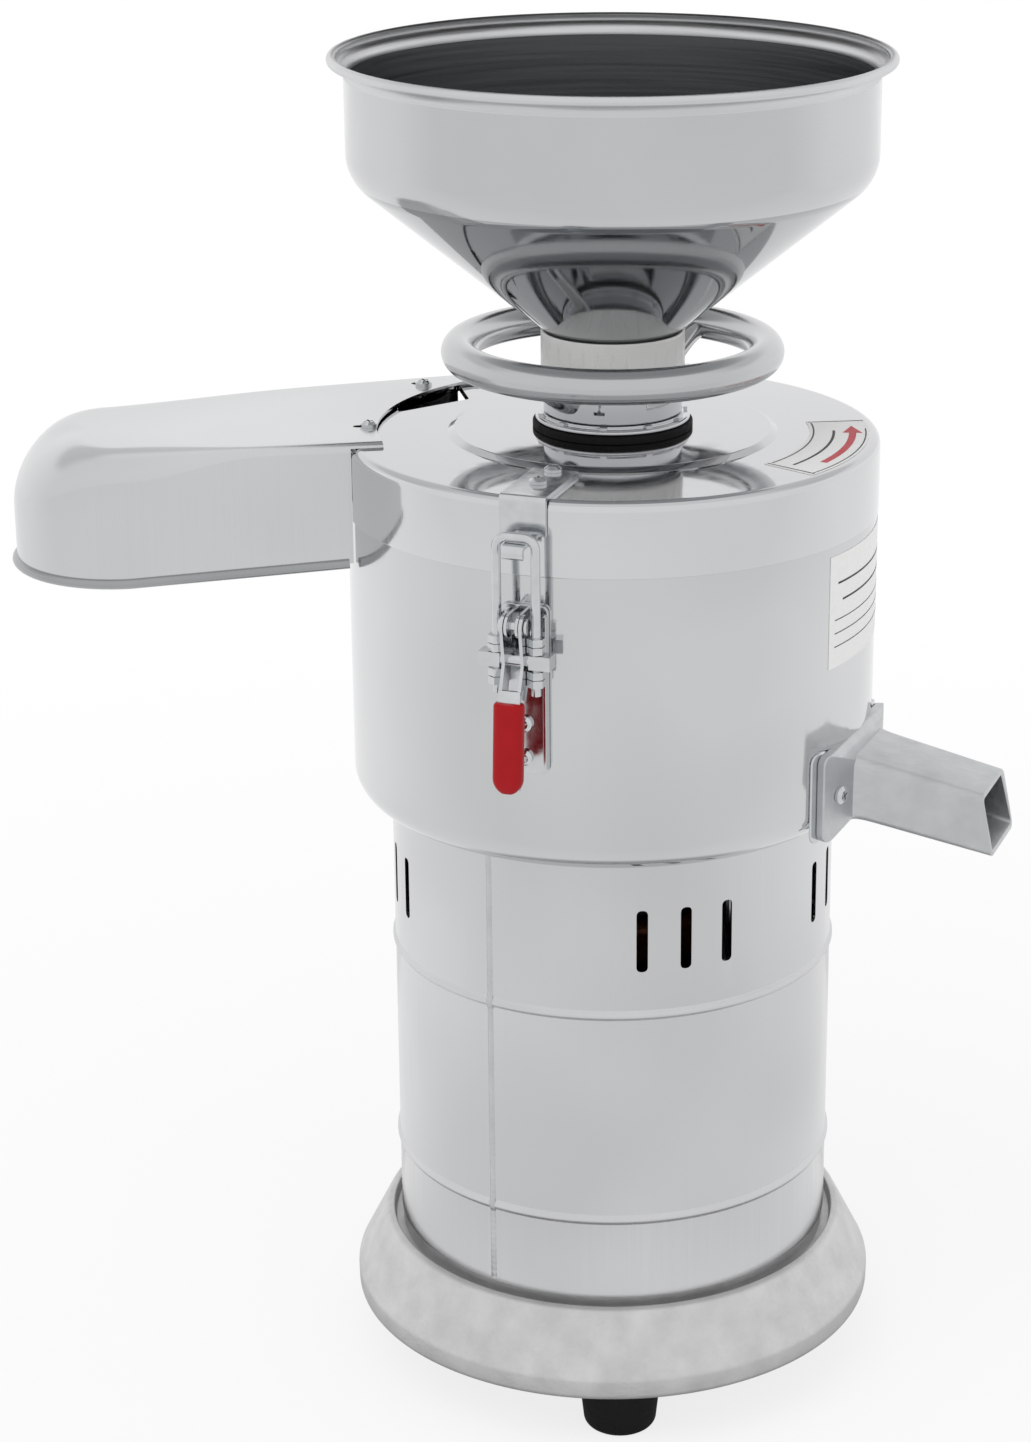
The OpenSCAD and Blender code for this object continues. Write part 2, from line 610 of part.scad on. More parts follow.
module hopper() color("#a8acb0") rotate_extrude() polygon(concat(
    [[tube_r - tube_t - 1.3, 455], [tube_r - tube_t - 0.1, 455],
     [tube_r - tube_t - 0.1, cone_z - 2.5], [23.3, cone_z]],
    arc([hopper_r - bowl_bend_r, bowl_bend_z], bowl_bend_r, -cone_lean, 0, 6),
    arc([hopper_r, hopper_top_z - 4] + lip_flare_r * [1, -1], lip_flare_r, 180, 95, 6),
    arc([hopper_r + lip_flare_r, hopper_top_z - 2], 2, -80, 150, 9),
    arc([hopper_r, hopper_top_z - 4] + lip_flare_r * [1, -1], lip_flare_r + hopper_t, 102, 180, 6),
    arc([hopper_r - bowl_bend_r, bowl_bend_z], bowl_bend_r - hopper_t, 0, -cone_lean, 6),
    [[22.5, cone_z + 1.4], [tube_r - tube_t - 1.3, cone_z - 2]]));

// ---------- latches, drawn at the front ----------

// Sheet of thickness t standing in the plane of radius and height, at x
module cheek(x, t) translate([x, 0, 0]) rotate([90, 0, -90]) mirror([0, 0, 1])
    linear_extrude(t) children();

module latch_plate(a) color("#b3b6b9") at_azimuth(a) difference() {
    union() {
        translate([0, -drum_r - 0.15, 359.75]) rotate([90, 0, 0]) linear_extrude(2)
            round_rect(plate_w, 73.5, 3);
        for (s = [-1, 1]) translate([s * (plate_w / 2 - 0.7) - 0.7, -drum_r - 5, 326])
            cube([lever_t, 4, 67]);
        for (s = [-1, 1]) cheek(s * (cheek_x + lever_t / 2) - lever_t / 2, lever_t) {
            circle_at(pivot, 5);
            translate([drum_r + 1.5, pivot[1] - 5]) square([pivot[0] - drum_r - 1.5, 10]);
        }
        cheek(-6.2, 12.4) circle_at(pivot, 1.95);
        for (x = [-6.2, 4.95]) cheek(x, 1.25) circle_at(pivot, 3.4);
    }
    for (z = plate_screw_z) translate([0, -100, z]) rotate([90, 0, 0])
        cylinder(h = 30, r = m4_hole_r, $fn = 32);
}

module circle_at(p, r) translate(p) circle(r = r, $fn = 40);

module lever(a) color("#b9bcbf") at_azimuth(a) {
    for (s = [-1, 1]) cheek(s * (lever_x + 0.1 + lever_t / 2) - lever_t / 2, lever_t)
        difference() {
            union() {
                circle_at(pivot, 5);
                circle_at(trunnion, 5);
                bar2d(pivot, trunnion, 10);
                bar2d(trunnion, [133, 362], 8);
                bar2d([131.5, 365], [133.6, 360.6], 8);
            }
            circle_at(pivot, 2);
            circle_at(trunnion, 3.05);
        }
    cheek(-lever_x - 1.5, 2 * lever_x + 3) bar2d([136.2, 365], [137.3, 356], 1.6);
    cheek(-5.2, 10.4) bar2d([137.2, 358.5], [139.6, 323], 2);
}

// Dipped vinyl grip on the lever's tongue
module grip(a) color("#b81d24") at_azimuth(a) translate([0, -grip_at[0], grip_at[1]])
    rotate([-3.9, 0, 0]) difference() {
        union() {
            translate([0, 0, -17]) linear_extrude(36) round_rect(13, 7.5, 3.2);
            translate([0, 0, -20]) linear_extrude(3.1) round_rect(11, 5.5, 2.6);
        }
        translate([-5.4, -1.25, -18.5]) cube([10.8, 2.5, 40]);
    }

module bail(a) color("#a9abae") at_azimuth(a) translate([0, -trunnion[0], 0]) {
    r_bend = 5;
    half = bail_w / 2;
    for (s = [-1, 1]) {
        translate([s * half, 0, 361]) cylinder(h = bail_top_z - r_bend - 361, r = bail_bar_r, $fn = 32);
        translate([s * (half - r_bend), 0, bail_top_z - r_bend]) rotate([90, 0, 0])
            rotate([0, 0, s > 0 ? 0 : 90]) rotate_extrude(angle = 90) translate([r_bend, 0])
                circle(r = bail_bar_r, $fn = 32);
        for (z = [365, 368.6, 379.2, 382.8]) translate([s * half, 0, z]) rotate([0, 0, 30])
            cylinder(h = 3.2, r = 3.9, $fn = 6);
        translate([s * (half + 1) - 4.6, -3.6, trunnion[1] - 3]) translate([s * 1.4, 0, 0])
            cube([9.2, 7.2, 6]);
    }
    translate([-half + r_bend, 0, bail_top_z]) rotate([0, 90, 0])
        cylinder(h = bail_w - 2 * r_bend, r = bail_bar_r, $fn = 32);
    translate([-half, 0, trunnion[1]]) rotate([0, 90, 0]) cylinder(h = bail_w, r = 3, $fn = 40);
}

module hook(a) color("#b3b6b9") at_azimuth(a) difference() {
    union() {
        cheek(-10, 20) {
            translate([77, lid_top_z + 0.05]) square([40.2, 2]);
            polygon(concat([[116.9, lid_top_z + 0.05]], arc([116.9, lid_top_z - 0.2], 2.25, 90, 0, 5),
                [[119.15, lip_z + 1], [117.15, lip_z + 1], [117.15, lid_top_z - 2.6]]));
        }
        cheek(-hook_lip_w / 2, hook_lip_w) {
            translate([117.15, lip_z - 3]) square([2, 6]);
            translate([117.15, lip_z - 2]) square([12, 2]);
            polygon(concat(arc([129, lip_z - 3.4], 3.4, 90, -50, 8),
                arc([129, lip_z - 3.4], 1.5, -50, 90, 8)));
        }
    }
    for (r = hook_screw_r) translate([0, -r, lid_top_z - 6]) cylinder(h = 20, r = m4_hole_r, $fn = 32);
}

module front_latch_plate() latch_plate(latch_az);
module front_lever() lever(latch_az);
module front_grip() grip(latch_az);
module front_bail() bail(latch_az);
module front_hook() hook(latch_az);
module rear_latch_plate() latch_plate(rear_az);
module rear_lever() lever(rear_az);
module rear_grip() grip(rear_az);
module rear_bail() bail(rear_az);
module rear_hook() hook(rear_az);

module latch_screws() color("silver") for (a = [latch_az, rear_az]) at_azimuth(a) {
    for (z = plate_screw_z) translate([0, -drum_r - 2.2, z]) rotate([90, 0, 0])
        pan_screw(3.6, 2, 4.6);
    for (r = hook_screw_r) translate([0, -r, lid_top_z + 2.1]) pan_screw(3.8, 2, 5);
}

// ---------- labels ----------

module lid_label() color("#f2f2f0") translate([0, 0, lid_top_z + 0.02]) rotate([0, 0, -42])
    rotate_extrude(angle = 50) translate([86, 0]) square([26, 0.25]);

module drum_label() color("#f2f2f0") rotate([0, 0, -38]) translate([0, 0, 354])
    rotate_extrude(angle = 62) translate([drum_r + 0.02, 0]) square([0.25, 50]);

base_casting();
foot_front();
foot_right();
foot_left();
foot_screws();
motor_jacket();
cable_gland();
switch_housing();
switch_rocker();
bearing_flange();
stator_core();
stator_windings();
spacer_sleeves();
tie_bolts();
lower_bearing();
upper_bearing();
run_capacitor();
terminal_block();
rotor_core();
motor_shaft();
cooling_fan();
shaft_seal();
slinger_ring();
drum();
milk_spout();
spout_gasket();
spout_screws();
strainer_basket();
lower_stone();
stone_nut();
upper_stone();
stone_holder();
feed_tube();
nylon_collar();
lid();
lid_gasket();
lid_boss();
guide_pins();
residue_hood();
hood_screws();
neck_seal();
threaded_sleeve();
handwheel();
hopper();
front_latch_plate();
front_lever();
front_grip();
front_bail();
front_hook();
rear_latch_plate();
rear_lever();
rear_grip();
rear_bail();
rear_hook();
latch_screws();
lid_label();
drum_label();
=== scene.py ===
"""Looks of the nut butter grinder: polished sheet, cast aluminium, rubber, nylon and print.

Lengths are in millimetres, unless a name ends in _M or _PX, and are turned to metres when
a mesh is made. Azimuths are in degrees and run from the front towards +X.
"""
import json
import math

import bmesh
import bpy
import numpy as np
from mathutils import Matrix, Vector

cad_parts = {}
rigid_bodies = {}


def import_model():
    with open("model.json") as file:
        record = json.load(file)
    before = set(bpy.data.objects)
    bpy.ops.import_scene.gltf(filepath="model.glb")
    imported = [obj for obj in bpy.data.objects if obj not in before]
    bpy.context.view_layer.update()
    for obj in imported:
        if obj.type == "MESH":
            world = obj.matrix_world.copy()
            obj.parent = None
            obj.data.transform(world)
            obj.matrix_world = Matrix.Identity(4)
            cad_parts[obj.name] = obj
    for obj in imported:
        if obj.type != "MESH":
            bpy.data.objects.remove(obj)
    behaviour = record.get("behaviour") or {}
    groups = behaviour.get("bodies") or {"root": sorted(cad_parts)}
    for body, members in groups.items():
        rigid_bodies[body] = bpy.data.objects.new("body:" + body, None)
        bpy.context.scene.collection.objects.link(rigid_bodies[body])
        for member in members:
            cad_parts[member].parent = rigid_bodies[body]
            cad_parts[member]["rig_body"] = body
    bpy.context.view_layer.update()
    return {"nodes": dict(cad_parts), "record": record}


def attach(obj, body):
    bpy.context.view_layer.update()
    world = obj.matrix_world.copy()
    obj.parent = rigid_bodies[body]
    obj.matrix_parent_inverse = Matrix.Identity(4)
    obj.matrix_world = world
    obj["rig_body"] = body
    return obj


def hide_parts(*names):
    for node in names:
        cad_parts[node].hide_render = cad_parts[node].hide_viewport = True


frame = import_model()
MM = 0.001

# ---------- real sizes, the same as the construction's ----------

BASE_R, BASE_Z, BASE_TOP_Z = 121, 26, 64.5
DECK_Z, JACKET_Z, JACKET_TOP_Z = 62, 67, 277
JACKET_R, JACKET_T = 100, 1.2
BEAD_Z, BEAD_H, BEAD_OUT = (105.5, 205), 5, 1.2
VENT_W, VENT_LEN, VENT_Z, VENT_STEP = 5, 28.7, 225.6, 11.2
VENT_GROUPS = (-78, 18.5, 75, 138, -142)
SEAM_AZ = -32.4
DRUM_R, DRUM_T, DRUM_Z, DRUM_FILLET = 116.5, 2.5, 277, 13
SEAM_Z, LID_TOP_Z, LID_R, LID_T = 408.6, 441, 117, 3
DISC_R, DISC_RISE = 69.7, 2
HOPPER_R, HOPPER_TOP_Z, CONE_Z, HOPPER_T = 113.5, 605, 481, 1.5
BOWL_BEND_R, BOWL_BEND_Z, CONE_LEAN, LIP_FLARE_R = 20, 564, 51, 5
WHEEL_R, WHEEL_BAR_R, WHEEL_Z = 67, 7.5, 476.6
NECK_Z, STEP_Z = 443, 446.6
HOOD_TIP, HOOD_TIP_R = np.array((-215.5, -4.5)), 47
HOOD_NEAR, HOOD_FAR, HOOD_CORNER_R = np.array((-92.0, -23.0)), np.array((-45.0, 94.0)), 7
HOOD_ROOT_Z, HOOD_RIM_Z, HOOD_TOP_Z, HOOD_SHEET_T = 391, 386, 443.2, 1.2
PLATE_INNER_R = 103
HOOD_SCREWS = ((-106.5, -3.5), (-86.5, 70))
SPOUT_AZ, TUBE_AZ, SPOUT_PLATE_Z = 67.5, 70.2, 297.5
SPOUT_HOLE_W, SPOUT_HOLE_Z = 34, (286.5, 306.5)
HOOD_FOLD_R, HOOD_FOLD_GROWTH, HOOD_TIP_GROWTH, HOOD_WIRE_R = 4, 9, 20, 2.2
SWITCH_HOLE_W, SWITCH_HOLE_Z, GLAND_HOLE_R, GLAND_Z = 28.4, (136, 158.4), 8.1, 86
LATCHES = {"front": -18, "rear": 162}
GRIP_AT = (138.36, 341)
SHARP_DEG = 35

# ---------- camera ----------

PHOTO_LONG_SIDE_PX = 1442
FOCAL_PX = 3300
CAMERA_MM = (0, -1402, 812.6)
CAMERA_PITCH = 19.9
AXIS_RIGHT_OF_CENTRE_PX = 97.2


bpy.context.scene.view_settings.view_transform = "Standard"


def make_camera():
    """Camera at the front, looking down; its shift sets the machine's axis off the middle."""
    data = bpy.data.cameras.new("camera")
    data.sensor_width = 36
    data.lens = FOCAL_PX / PHOTO_LONG_SIDE_PX * data.sensor_width
    data.shift_x = -AXIS_RIGHT_OF_CENTRE_PX / PHOTO_LONG_SIDE_PX
    camera = bpy.data.objects.new("camera", data)
    camera.location = [c * MM for c in CAMERA_MM]
    camera.rotation_euler = (math.radians(90 - CAMERA_PITCH), 0, 0)
    bpy.context.scene.collection.objects.link(camera)
    bpy.context.scene.camera = camera


make_camera()

# ---------- materials ----------


def linear(hex_colour):
    """sRGB hex to linear RGBA."""
    c = np.array([int(hex_colour[i:i + 2], 16) / 255 for i in (1, 3, 5)])
    c = np.where(c <= 0.04045, c / 12.92, ((c + 0.055) / 1.055) ** 2.4)
    return (*c, 1.0)


def add(tree, kind, inputs=None, **settings):
    """Adds one node: settings are its properties, inputs are values or sockets to link."""
    node = tree.nodes.new(kind)
    for key, value in settings.items():
        setattr(node, key, value)
    for key, value in (inputs or {}).items():
        if isinstance(value, bpy.types.NodeSocket):
            tree.links.new(value, node.inputs[key])
        else:
            node.inputs[key].default_value = value
    return node


SOCKETS = {"metallic": "Metallic", "roughness": "Roughness", "specular": "Specular IOR Level"}


def new_material(name, colour="#808080", **shader):
    """A Principled material; returns it with its tree and shader node."""
    material = bpy.data.materials.new(name)
    material.use_nodes = True
    tree = material.node_tree
    tree.nodes.clear()
    surface = add(tree, "ShaderNodeBsdfPrincipled", {"Base Color": linear(colour)})
    for key, value in shader.items():
        surface.inputs[SOCKETS[key]].default_value = value
    out = add(tree, "ShaderNodeOutputMaterial", {"Surface": surface.outputs[0]})
    out.is_active_output = True
    return material, tree, surface


def grain(tree, size_mm, detail=3.0, stretch=(1, 1, 1), roughness=0.5):
    """Noise whose blobs are size_mm wide, pulled along the axes by stretch."""
    place = add(tree, "ShaderNodeTexCoord")
    scale = add(tree, "ShaderNodeMapping", {"Vector": place.outputs["Object"],
                                            "Scale": [1 / s for s in stretch]})
    return add(tree, "ShaderNodeTexNoise", {"Vector": scale.outputs[0], "Scale": 1000 / size_mm,
                                            "Detail": detail, "Roughness": roughness})


def ramp(tree, source, low, high, to_low, to_high):
    """Maps source from low..high to to_low..to_high."""
    return add(tree, "ShaderNodeMapRange", {"Value": source, "From Min": low, "From Max": high,
                                            "To Min": to_low, "To Max": to_high})


# the mix node has several sockets of each name, so its colour sockets go by number
COLOUR_A, COLOUR_B, COLOUR_OUT = 6, 7, 2


def two_tone(tree, surface, source, dark, light):
    """Mixes two colours by source and feeds them to the surface."""
    mix = add(tree, "ShaderNodeMix", {"Factor": source}, data_type="RGBA")
    mix.inputs[COLOUR_A].default_value = linear(dark)
    mix.inputs[COLOUR_B].default_value = linear(light)
    tree.links.new(mix.outputs[COLOUR_OUT], surface.inputs["Base Color"])


def relief(tree, surface, height, depth_mm, strength=1.0, below=None):
    """Bump of depth_mm from a height socket."""
    inputs = {"Height": height, "Distance": depth_mm * MM, "Strength": strength}
    if below is not None:
        inputs["Normal"] = below.outputs[0]
    bump = add(tree, "ShaderNodeBump", inputs)
    tree.links.new(bump.outputs[0], surface.inputs["Normal"])
    return bump


def rolled_stainless(name, low, high, dark="#cbcccd", light="#d6d7d8"):
    """Cold-rolled 304 sheet, buffed: soft mirror with faint upright polishing streaks."""
    material, tree, surface = new_material(name, light, metallic=1.0, roughness=low)
    streak = grain(tree, 1.2, 2, (1, 1, 60))
    cloud = grain(tree, 110, 1)
    blend = add(tree, "ShaderNodeMath", {0: streak.outputs[0], 1: cloud.outputs[0]},
                operation="MULTIPLY")
    rough = ramp(tree, blend.outputs[0], 0.15, 0.4, low, high)
    tree.links.new(rough.outputs[0], surface.inputs["Roughness"])
    tone = ramp(tree, cloud.outputs[0], 0.36, 0.64, 0.0, 1.0)
    two_tone(tree, surface, tone.outputs[0], dark, light)
    relief(tree, surface, cloud.outputs[0], 0.12, 0.35)
    return material


def mirror_stainless():
    """Mirror-polished stainless: sharp reflections with slight waviness from pressing."""
    material, tree, surface = new_material("mirror-polished stainless", "#cacbcd",
                                           metallic=1.0, roughness=0.06)
    wave = grain(tree, 45, 1)
    smear = grain(tree, 9, 3)
    rough = ramp(tree, smear.outputs[0], 0.35, 0.7, 0.04, 0.1)
    tree.links.new(rough.outputs[0], surface.inputs["Roughness"])
    relief(tree, surface, wave.outputs[0], 0.25, 0.3)
    return material


def spun_stainless(name, dark, light, low, high):
    """Spun stainless: fine rings left by the tool under a buffed finish."""
    material, tree, surface = new_material(name, light, metallic=1.0, roughness=low)
    rings = grain(tree, 0.9, 2, (60, 60, 1))
    cloud = grain(tree, 50, 2)
    rough = ramp(tree, rings.outputs[0], 0.3, 0.7, low, high)
    tree.links.new(rough.outputs[0], surface.inputs["Roughness"])
    two_tone(tree, surface, cloud.outputs[0], dark, light)
    relief(tree, surface, rings.outputs[0], 0.015, 0.3)
    return material


def hazy_stainless_painted_shade():
    """Unpolished inside of the hopper: hazier than its outside, and darker as painted shade."""
    material, tree, surface = new_material("mill-finish stainless painted darker", "#76787a",
                                           metallic=1.0, roughness=0.38)
    rings = grain(tree, 1.5, 2, (60, 60, 1))
    rough = ramp(tree, rings.outputs[0], 0.3, 0.7, 0.3, 0.46)
    tree.links.new(rough.outputs[0], surface.inputs["Roughness"])
    return material


def sand_cast_aluminium():
    """Sand-cast aluminium, tumbled: soft lumps, patches of sandy skin and small pores."""
    material, tree, surface = new_material("sand-cast aluminium", "#b9b9b8",
                                           metallic=1.0, roughness=0.5)
    sand = grain(tree, 1.7, 5, roughness=0.6)
    lumps = grain(tree, 14, 3)
    patch = ramp(tree, grain(tree, 26, 3).outputs[0], 0.46, 0.62, 0.12, 1.0)
    pores = add(tree, "ShaderNodeTexVoronoi", {
        "Vector": add(tree, "ShaderNodeTexCoord").outputs["Object"], "Scale": 1000 / 5.5})
    pit = ramp(tree, pores.outputs["Distance"], 0.0, 0.3, 0.0, 1.0)
    tone = ramp(tree, lumps.outputs[0], 0.3, 0.7, 0.0, 1.0)
    two_tone(tree, surface, tone.outputs[0], "#cecece", "#dcdcdc")
    rough = ramp(tree, sand.outputs[0], 0.3, 0.7, 0.55, 0.4)
    tree.links.new(rough.outputs[0], surface.inputs["Roughness"])
    first = relief(tree, surface, lumps.outputs[0], 0.9, 0.35)
    second = relief(tree, surface, sand.outputs[0], 0.3, 0.6, first)
    tree.links.new(patch.outputs[0], second.inputs["Strength"])
    relief(tree, surface, pit.outputs[0], 0.1, 0.25, second)
    return material


def blasted_casting():
    """Die-cast aluminium with a linished surface: even satin grey and light scuffs."""
    material, tree, surface = new_material("satin cast aluminium", "#c4c6c8",
                                           metallic=1.0, roughness=0.34)
    scuff = grain(tree, 1.0, 3, (14, 1, 1))
    cloud = grain(tree, 14, 3)
    two_tone(tree, surface, cloud.outputs[0], "#b8babc", "#d4d6d8")
    rough = ramp(tree, scuff.outputs[0], 0.3, 0.7, 0.28, 0.46)
    tree.links.new(rough.outputs[0], surface.inputs["Roughness"])
    relief(tree, surface, scuff.outputs[0], 0.03, 0.5)
    return material


def zinc_steel():
    """Zinc-plated steel hardware: bright, slightly uneven and worn."""
    material, tree, surface = new_material("zinc-plated steel", "#cfd1d3",
                                           metallic=1.0, roughness=0.15)
    cloud = grain(tree, 6, 2)
    two_tone(tree, surface, cloud.outputs[0], "#c6c8ca", "#dcdee0")
    rough = ramp(tree, cloud.outputs[0], 0.3, 0.7, 0.1, 0.2)
    tree.links.new(rough.outputs[0], surface.inputs["Roughness"])
    relief(tree, surface, cloud.outputs[0], 0.03, 0.25)
    return material


def moulded(name, dark, light, rough, sheen_mm=1.5, depth_mm=0.03, **shader):
    """Moulded rubber or plastic: even colour with a fine skin texture."""
    material, tree, surface = new_material(name, light, roughness=rough, **shader)
    skin = grain(tree, sheen_mm, 3)
    two_tone(tree, surface, skin.outputs[0], dark, light)
    spread = ramp(tree, skin.outputs[0], 0.3, 0.7, rough * 0.85, min(1.0, rough * 1.15))
    tree.links.new(spread.outputs[0], surface.inputs["Roughness"])
    relief(tree, surface, skin.outputs[0], depth_mm, 0.5)
    return material


def bonded_grit():
    """Corundum grit in a fired bond: speckled and very matte."""
    material, tree, surface = new_material("bonded corundum", "#8a8078", roughness=0.9)
    grit = grain(tree, 0.9, 4)
    spots = ramp(tree, grit.outputs[0], 0.42, 0.58, 0, 1)
    two_tone(tree, surface, spots.outputs[0], "#6f665f", "#a39a90")
    relief(tree, surface, grit.outputs[0], 0.25, 0.8)
    return material


# every finish in the scene, by the short name that pieces and slots use
FINISH = {
    "sheet": rolled_stainless("buffed stainless sheet", 0.14, 0.24),
    "wall": rolled_stainless("polished stainless sheet", 0.06, 0.13),
    "lid": rolled_stainless("polished stainless lid", 0.06, 0.13, "#d2d3d4", "#dcddde"),
    # hood rim bead: its darker colour is a painted dark reflection
    "hem": spun_stainless("rolled stainless hem painted darker", "#989a9c", "#b2b4b6", 0.12, 0.24),
    "mirror": mirror_stainless(),
    "spun": spun_stainless("spun stainless", "#c6c7c9", "#cfd0d1", 0.1, 0.16),
    "lip": spun_stainless("brushed stainless lip", "#d0d1d2", "#dcddde", 0.3, 0.42),
    # funnel cone: low roughness is the real burnish, the darker colour is a painted reflection of
    # dark surroundings
    "cone": spun_stainless("burnished stainless cone painted dark", "#a6a8aa", "#b2b4b6", 0.05, 0.09),
    "bar": spun_stainless("satin round bar", "#bfc0c1", "#c9cacb", 0.16, 0.22),
    # hopper inside: hazy unpolished finish, with a dark colour that is painted shade
    "dull": hazy_stainless_painted_shade(),
    "cast": sand_cast_aluminium(),
    "casting": blasted_casting(),
    "zinc": zinc_steel(),
    "stone": bonded_grit(),
    "rubber": moulded("black natural rubber", "#0d0d0e", "#161617", 0.68, 2.0, 0.08, specular=0.25),
    "gasket": moulded("grey silicone rubber", "#8a8a88", "#9c9c9a", 0.55),
    "black": moulded("black nylon moulding", "#141415", "#1f1f21", 0.42),
    "cream": moulded("cream melamine moulding", "#cfc8b4", "#ddd7c6", 0.45),
    "vinyl": moulded("dipped red vinyl", "#9c0a12", "#ad0f18", 0.38, 6.0, 0.06, specular=0.2),
    "red": moulded("red polycarbonate", "#8d1512", "#a51f1c", 0.25),
    "nylon": moulded("turned white nylon", "#f2f2ef", "#fafaf8", 0.35, 0.8, 0.05),
    "film": moulded("white polyester film", "#f0f0ef", "#fafaf9", 0.35, 4.0, 0.01),
    "ink": moulded("black screen ink", "#161616", "#242424", 0.5, 2.0, 0.005),
    "red ink": moulded("red screen ink", "#c4303c", "#d23e49", 0.5, 2.0, 0.005),
    "copper": moulded("enamelled copper wire", "#4a2512", "#6b3a1c", 0.35, 1.2, 0.3, metallic=0.6),
    "core": moulded("blued electrical steel", "#3c3f44", "#5a5d62", 0.45, 0.7, 0.1, metallic=1.0),
}

SLOT_FINISH = {
    "cast_aluminium": "cast", "polished_steel": "sheet", "satin_steel": "spun",
    "cast_fittings": "casting", "zinc_steel": "zinc", "black_rubber": "rubber",
    "black_plastic": "black", "red_vinyl": "vinyl", "red_plastic": "red",
    "white_nylon": "nylon", "label_white": "film", "electrical_steel": "core",
    "copper_wire": "copper", "shaft_steel": "zinc", "grinding_stone": "stone",
    "gasket_rubber": "gasket", "cream_plastic": "cream",
}
NODE_BODY = {n: b for b, members in frame["record"]["behaviour"]["bodies"].items() for n in members}
NODE_SLOT = {s["node"]: s["material_slot"] for s in frame["record"]["subparts"]}


def paint_nodes():
    """Gives every node of the construction its real material."""
    for name, obj in frame["nodes"].items():
        obj.data.materials.clear()
        obj.data.materials.append(FINISH[SLOT_FINISH[NODE_SLOT[name]]])


paint_nodes()

# ---------- mesh helpers ----------


def link(name, mesh, body, nodes=(), finish=None, smooth_below=SHARP_DEG):
    """Puts a mesh in the scene as a piece that rides on body and stands for nodes."""
    piece = bpy.data.objects.new(name, mesh)
    bpy.context.scene.collection.objects.link(piece)
    mesh.shade_smooth()
    mesh.set_sharp_from_angle(angle=math.radians(smooth_below))
    if finish:
        mesh.materials.append(FINISH[finish])
    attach(piece, body)
    if nodes:
        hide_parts(*nodes)
    return piece


def grid_mesh(name, points, close_u=False, close_v=False):
    """Mesh of quads over a grid of points in millimetres, closed along u or v if asked."""
    nu, nv = points.shape[:2]
    index = np.arange(nu * nv).reshape(nu, nv)
    rows = np.vstack([index, index[:1]]) if close_u else index
    rows = np.hstack([rows, rows[:, :1]]) if close_v else rows
    quads = np.stack([rows[:-1, :-1], rows[1:, :-1], rows[1:, 1:], rows[:-1, 1:]], -1)
    mesh = bpy.data.meshes.new(name)
    mesh.from_pydata((points.reshape(-1, 3) * MM).tolist(), [], quads.reshape(-1, 4).tolist())
    return mesh


def outward(mesh, merge_mm=0.001):
    """Merges doubles and turns every face outwards."""
    work = bmesh.new()
    work.from_mesh(mesh)
    bmesh.ops.remove_doubles(work, verts=work.verts, dist=merge_mm * MM)
    bmesh.ops.recalc_face_normals(work, faces=work.faces)
    work.to_mesh(mesh)
    work.free()


def rounded(corners, steps=6):
    """Closed outline through corners (x, y, radius): each corner with a radius is an arc."""
    out = []
    count = len(corners)
    for i, (x, y, r) in enumerate(corners):
        p = np.array((x, y), float)
        if r <= 0:
            out.append(p)
            continue
        before = np.array(corners[i - 1][:2]) - p
        after = np.array(corners[(i + 1) % count][:2]) - p
        a, b = before / np.linalg.norm(before), after / np.linalg.norm(after)
        half = math.acos(np.clip(a @ b, -1, 1)) / 2
        reach = min(r / math.tan(half), 0.49 * min(np.linalg.norm(before), np.linalg.norm(after)))
        start, end = p + a * reach, p + b * reach
        for t in np.linspace(0, 1, steps + 1):
            out.append((1 - t) ** 2 * start + 2 * t * (1 - t) * p + t ** 2 * end)
    return np.array(out)


def window(w, low, high, radius, middle=0):
    """Outline of an upright rectangle with round corners, w wide about its middle."""
    left, right = middle - w / 2, middle + w / 2
    return rounded([(left, low, radius), (right, low, radius), (right, high, radius),
                    (left, high, radius)])


def with_ends(points):
    """Adds the middle of the first and of the last ring, so that both ends close."""
    first, last = (np.repeat(ring.mean(1, keepdims=True), points.shape[1], 1)
                   for ring in (points[:1], points[-1:]))
    return np.concatenate([first, points, last])


def arc(centre, r, start, end, count):
    """Points of an arc in (radius, height), angles in degrees."""
    t = np.radians(np.linspace(start, end, count))
    return np.array(centre) + r * np.column_stack([np.cos(t), np.sin(t)])


def turned(name, section, body, nodes, finish, steps=360):
    """Solid of revolution: a closed outline of (radius, height) swept round the Z axis."""
    angle = np.linspace(0, 2 * np.pi, steps, endpoint=False)
    r, z = section[:, 0][:, None], section[:, 1][:, None]
    points = np.stack([r * np.cos(angle), r * np.sin(angle), z + 0 * angle], -1)
    mesh = grid_mesh(name, points, True, True)
    outward(mesh)
    return link(name, mesh, body, nodes, finish)


def cut(piece, cutters):
    """Takes the cutters away from a piece and removes them; its wall stays closed."""
    for cutter in cutters:
        tool = piece.modifiers.new("cut", "BOOLEAN")
        tool.operation, tool.solver, tool.object = "DIFFERENCE", "EXACT", cutter
    shown = bpy.context.evaluated_depsgraph_get()
    mesh = bpy.data.meshes.new_from_object(piece.evaluated_get(shown))
    piece.modifiers.clear()
    piece.data = mesh
    mesh.set_sharp_from_angle(angle=math.radians(SHARP_DEG))
    for cutter in cutters:
        bpy.data.objects.remove(cutter)


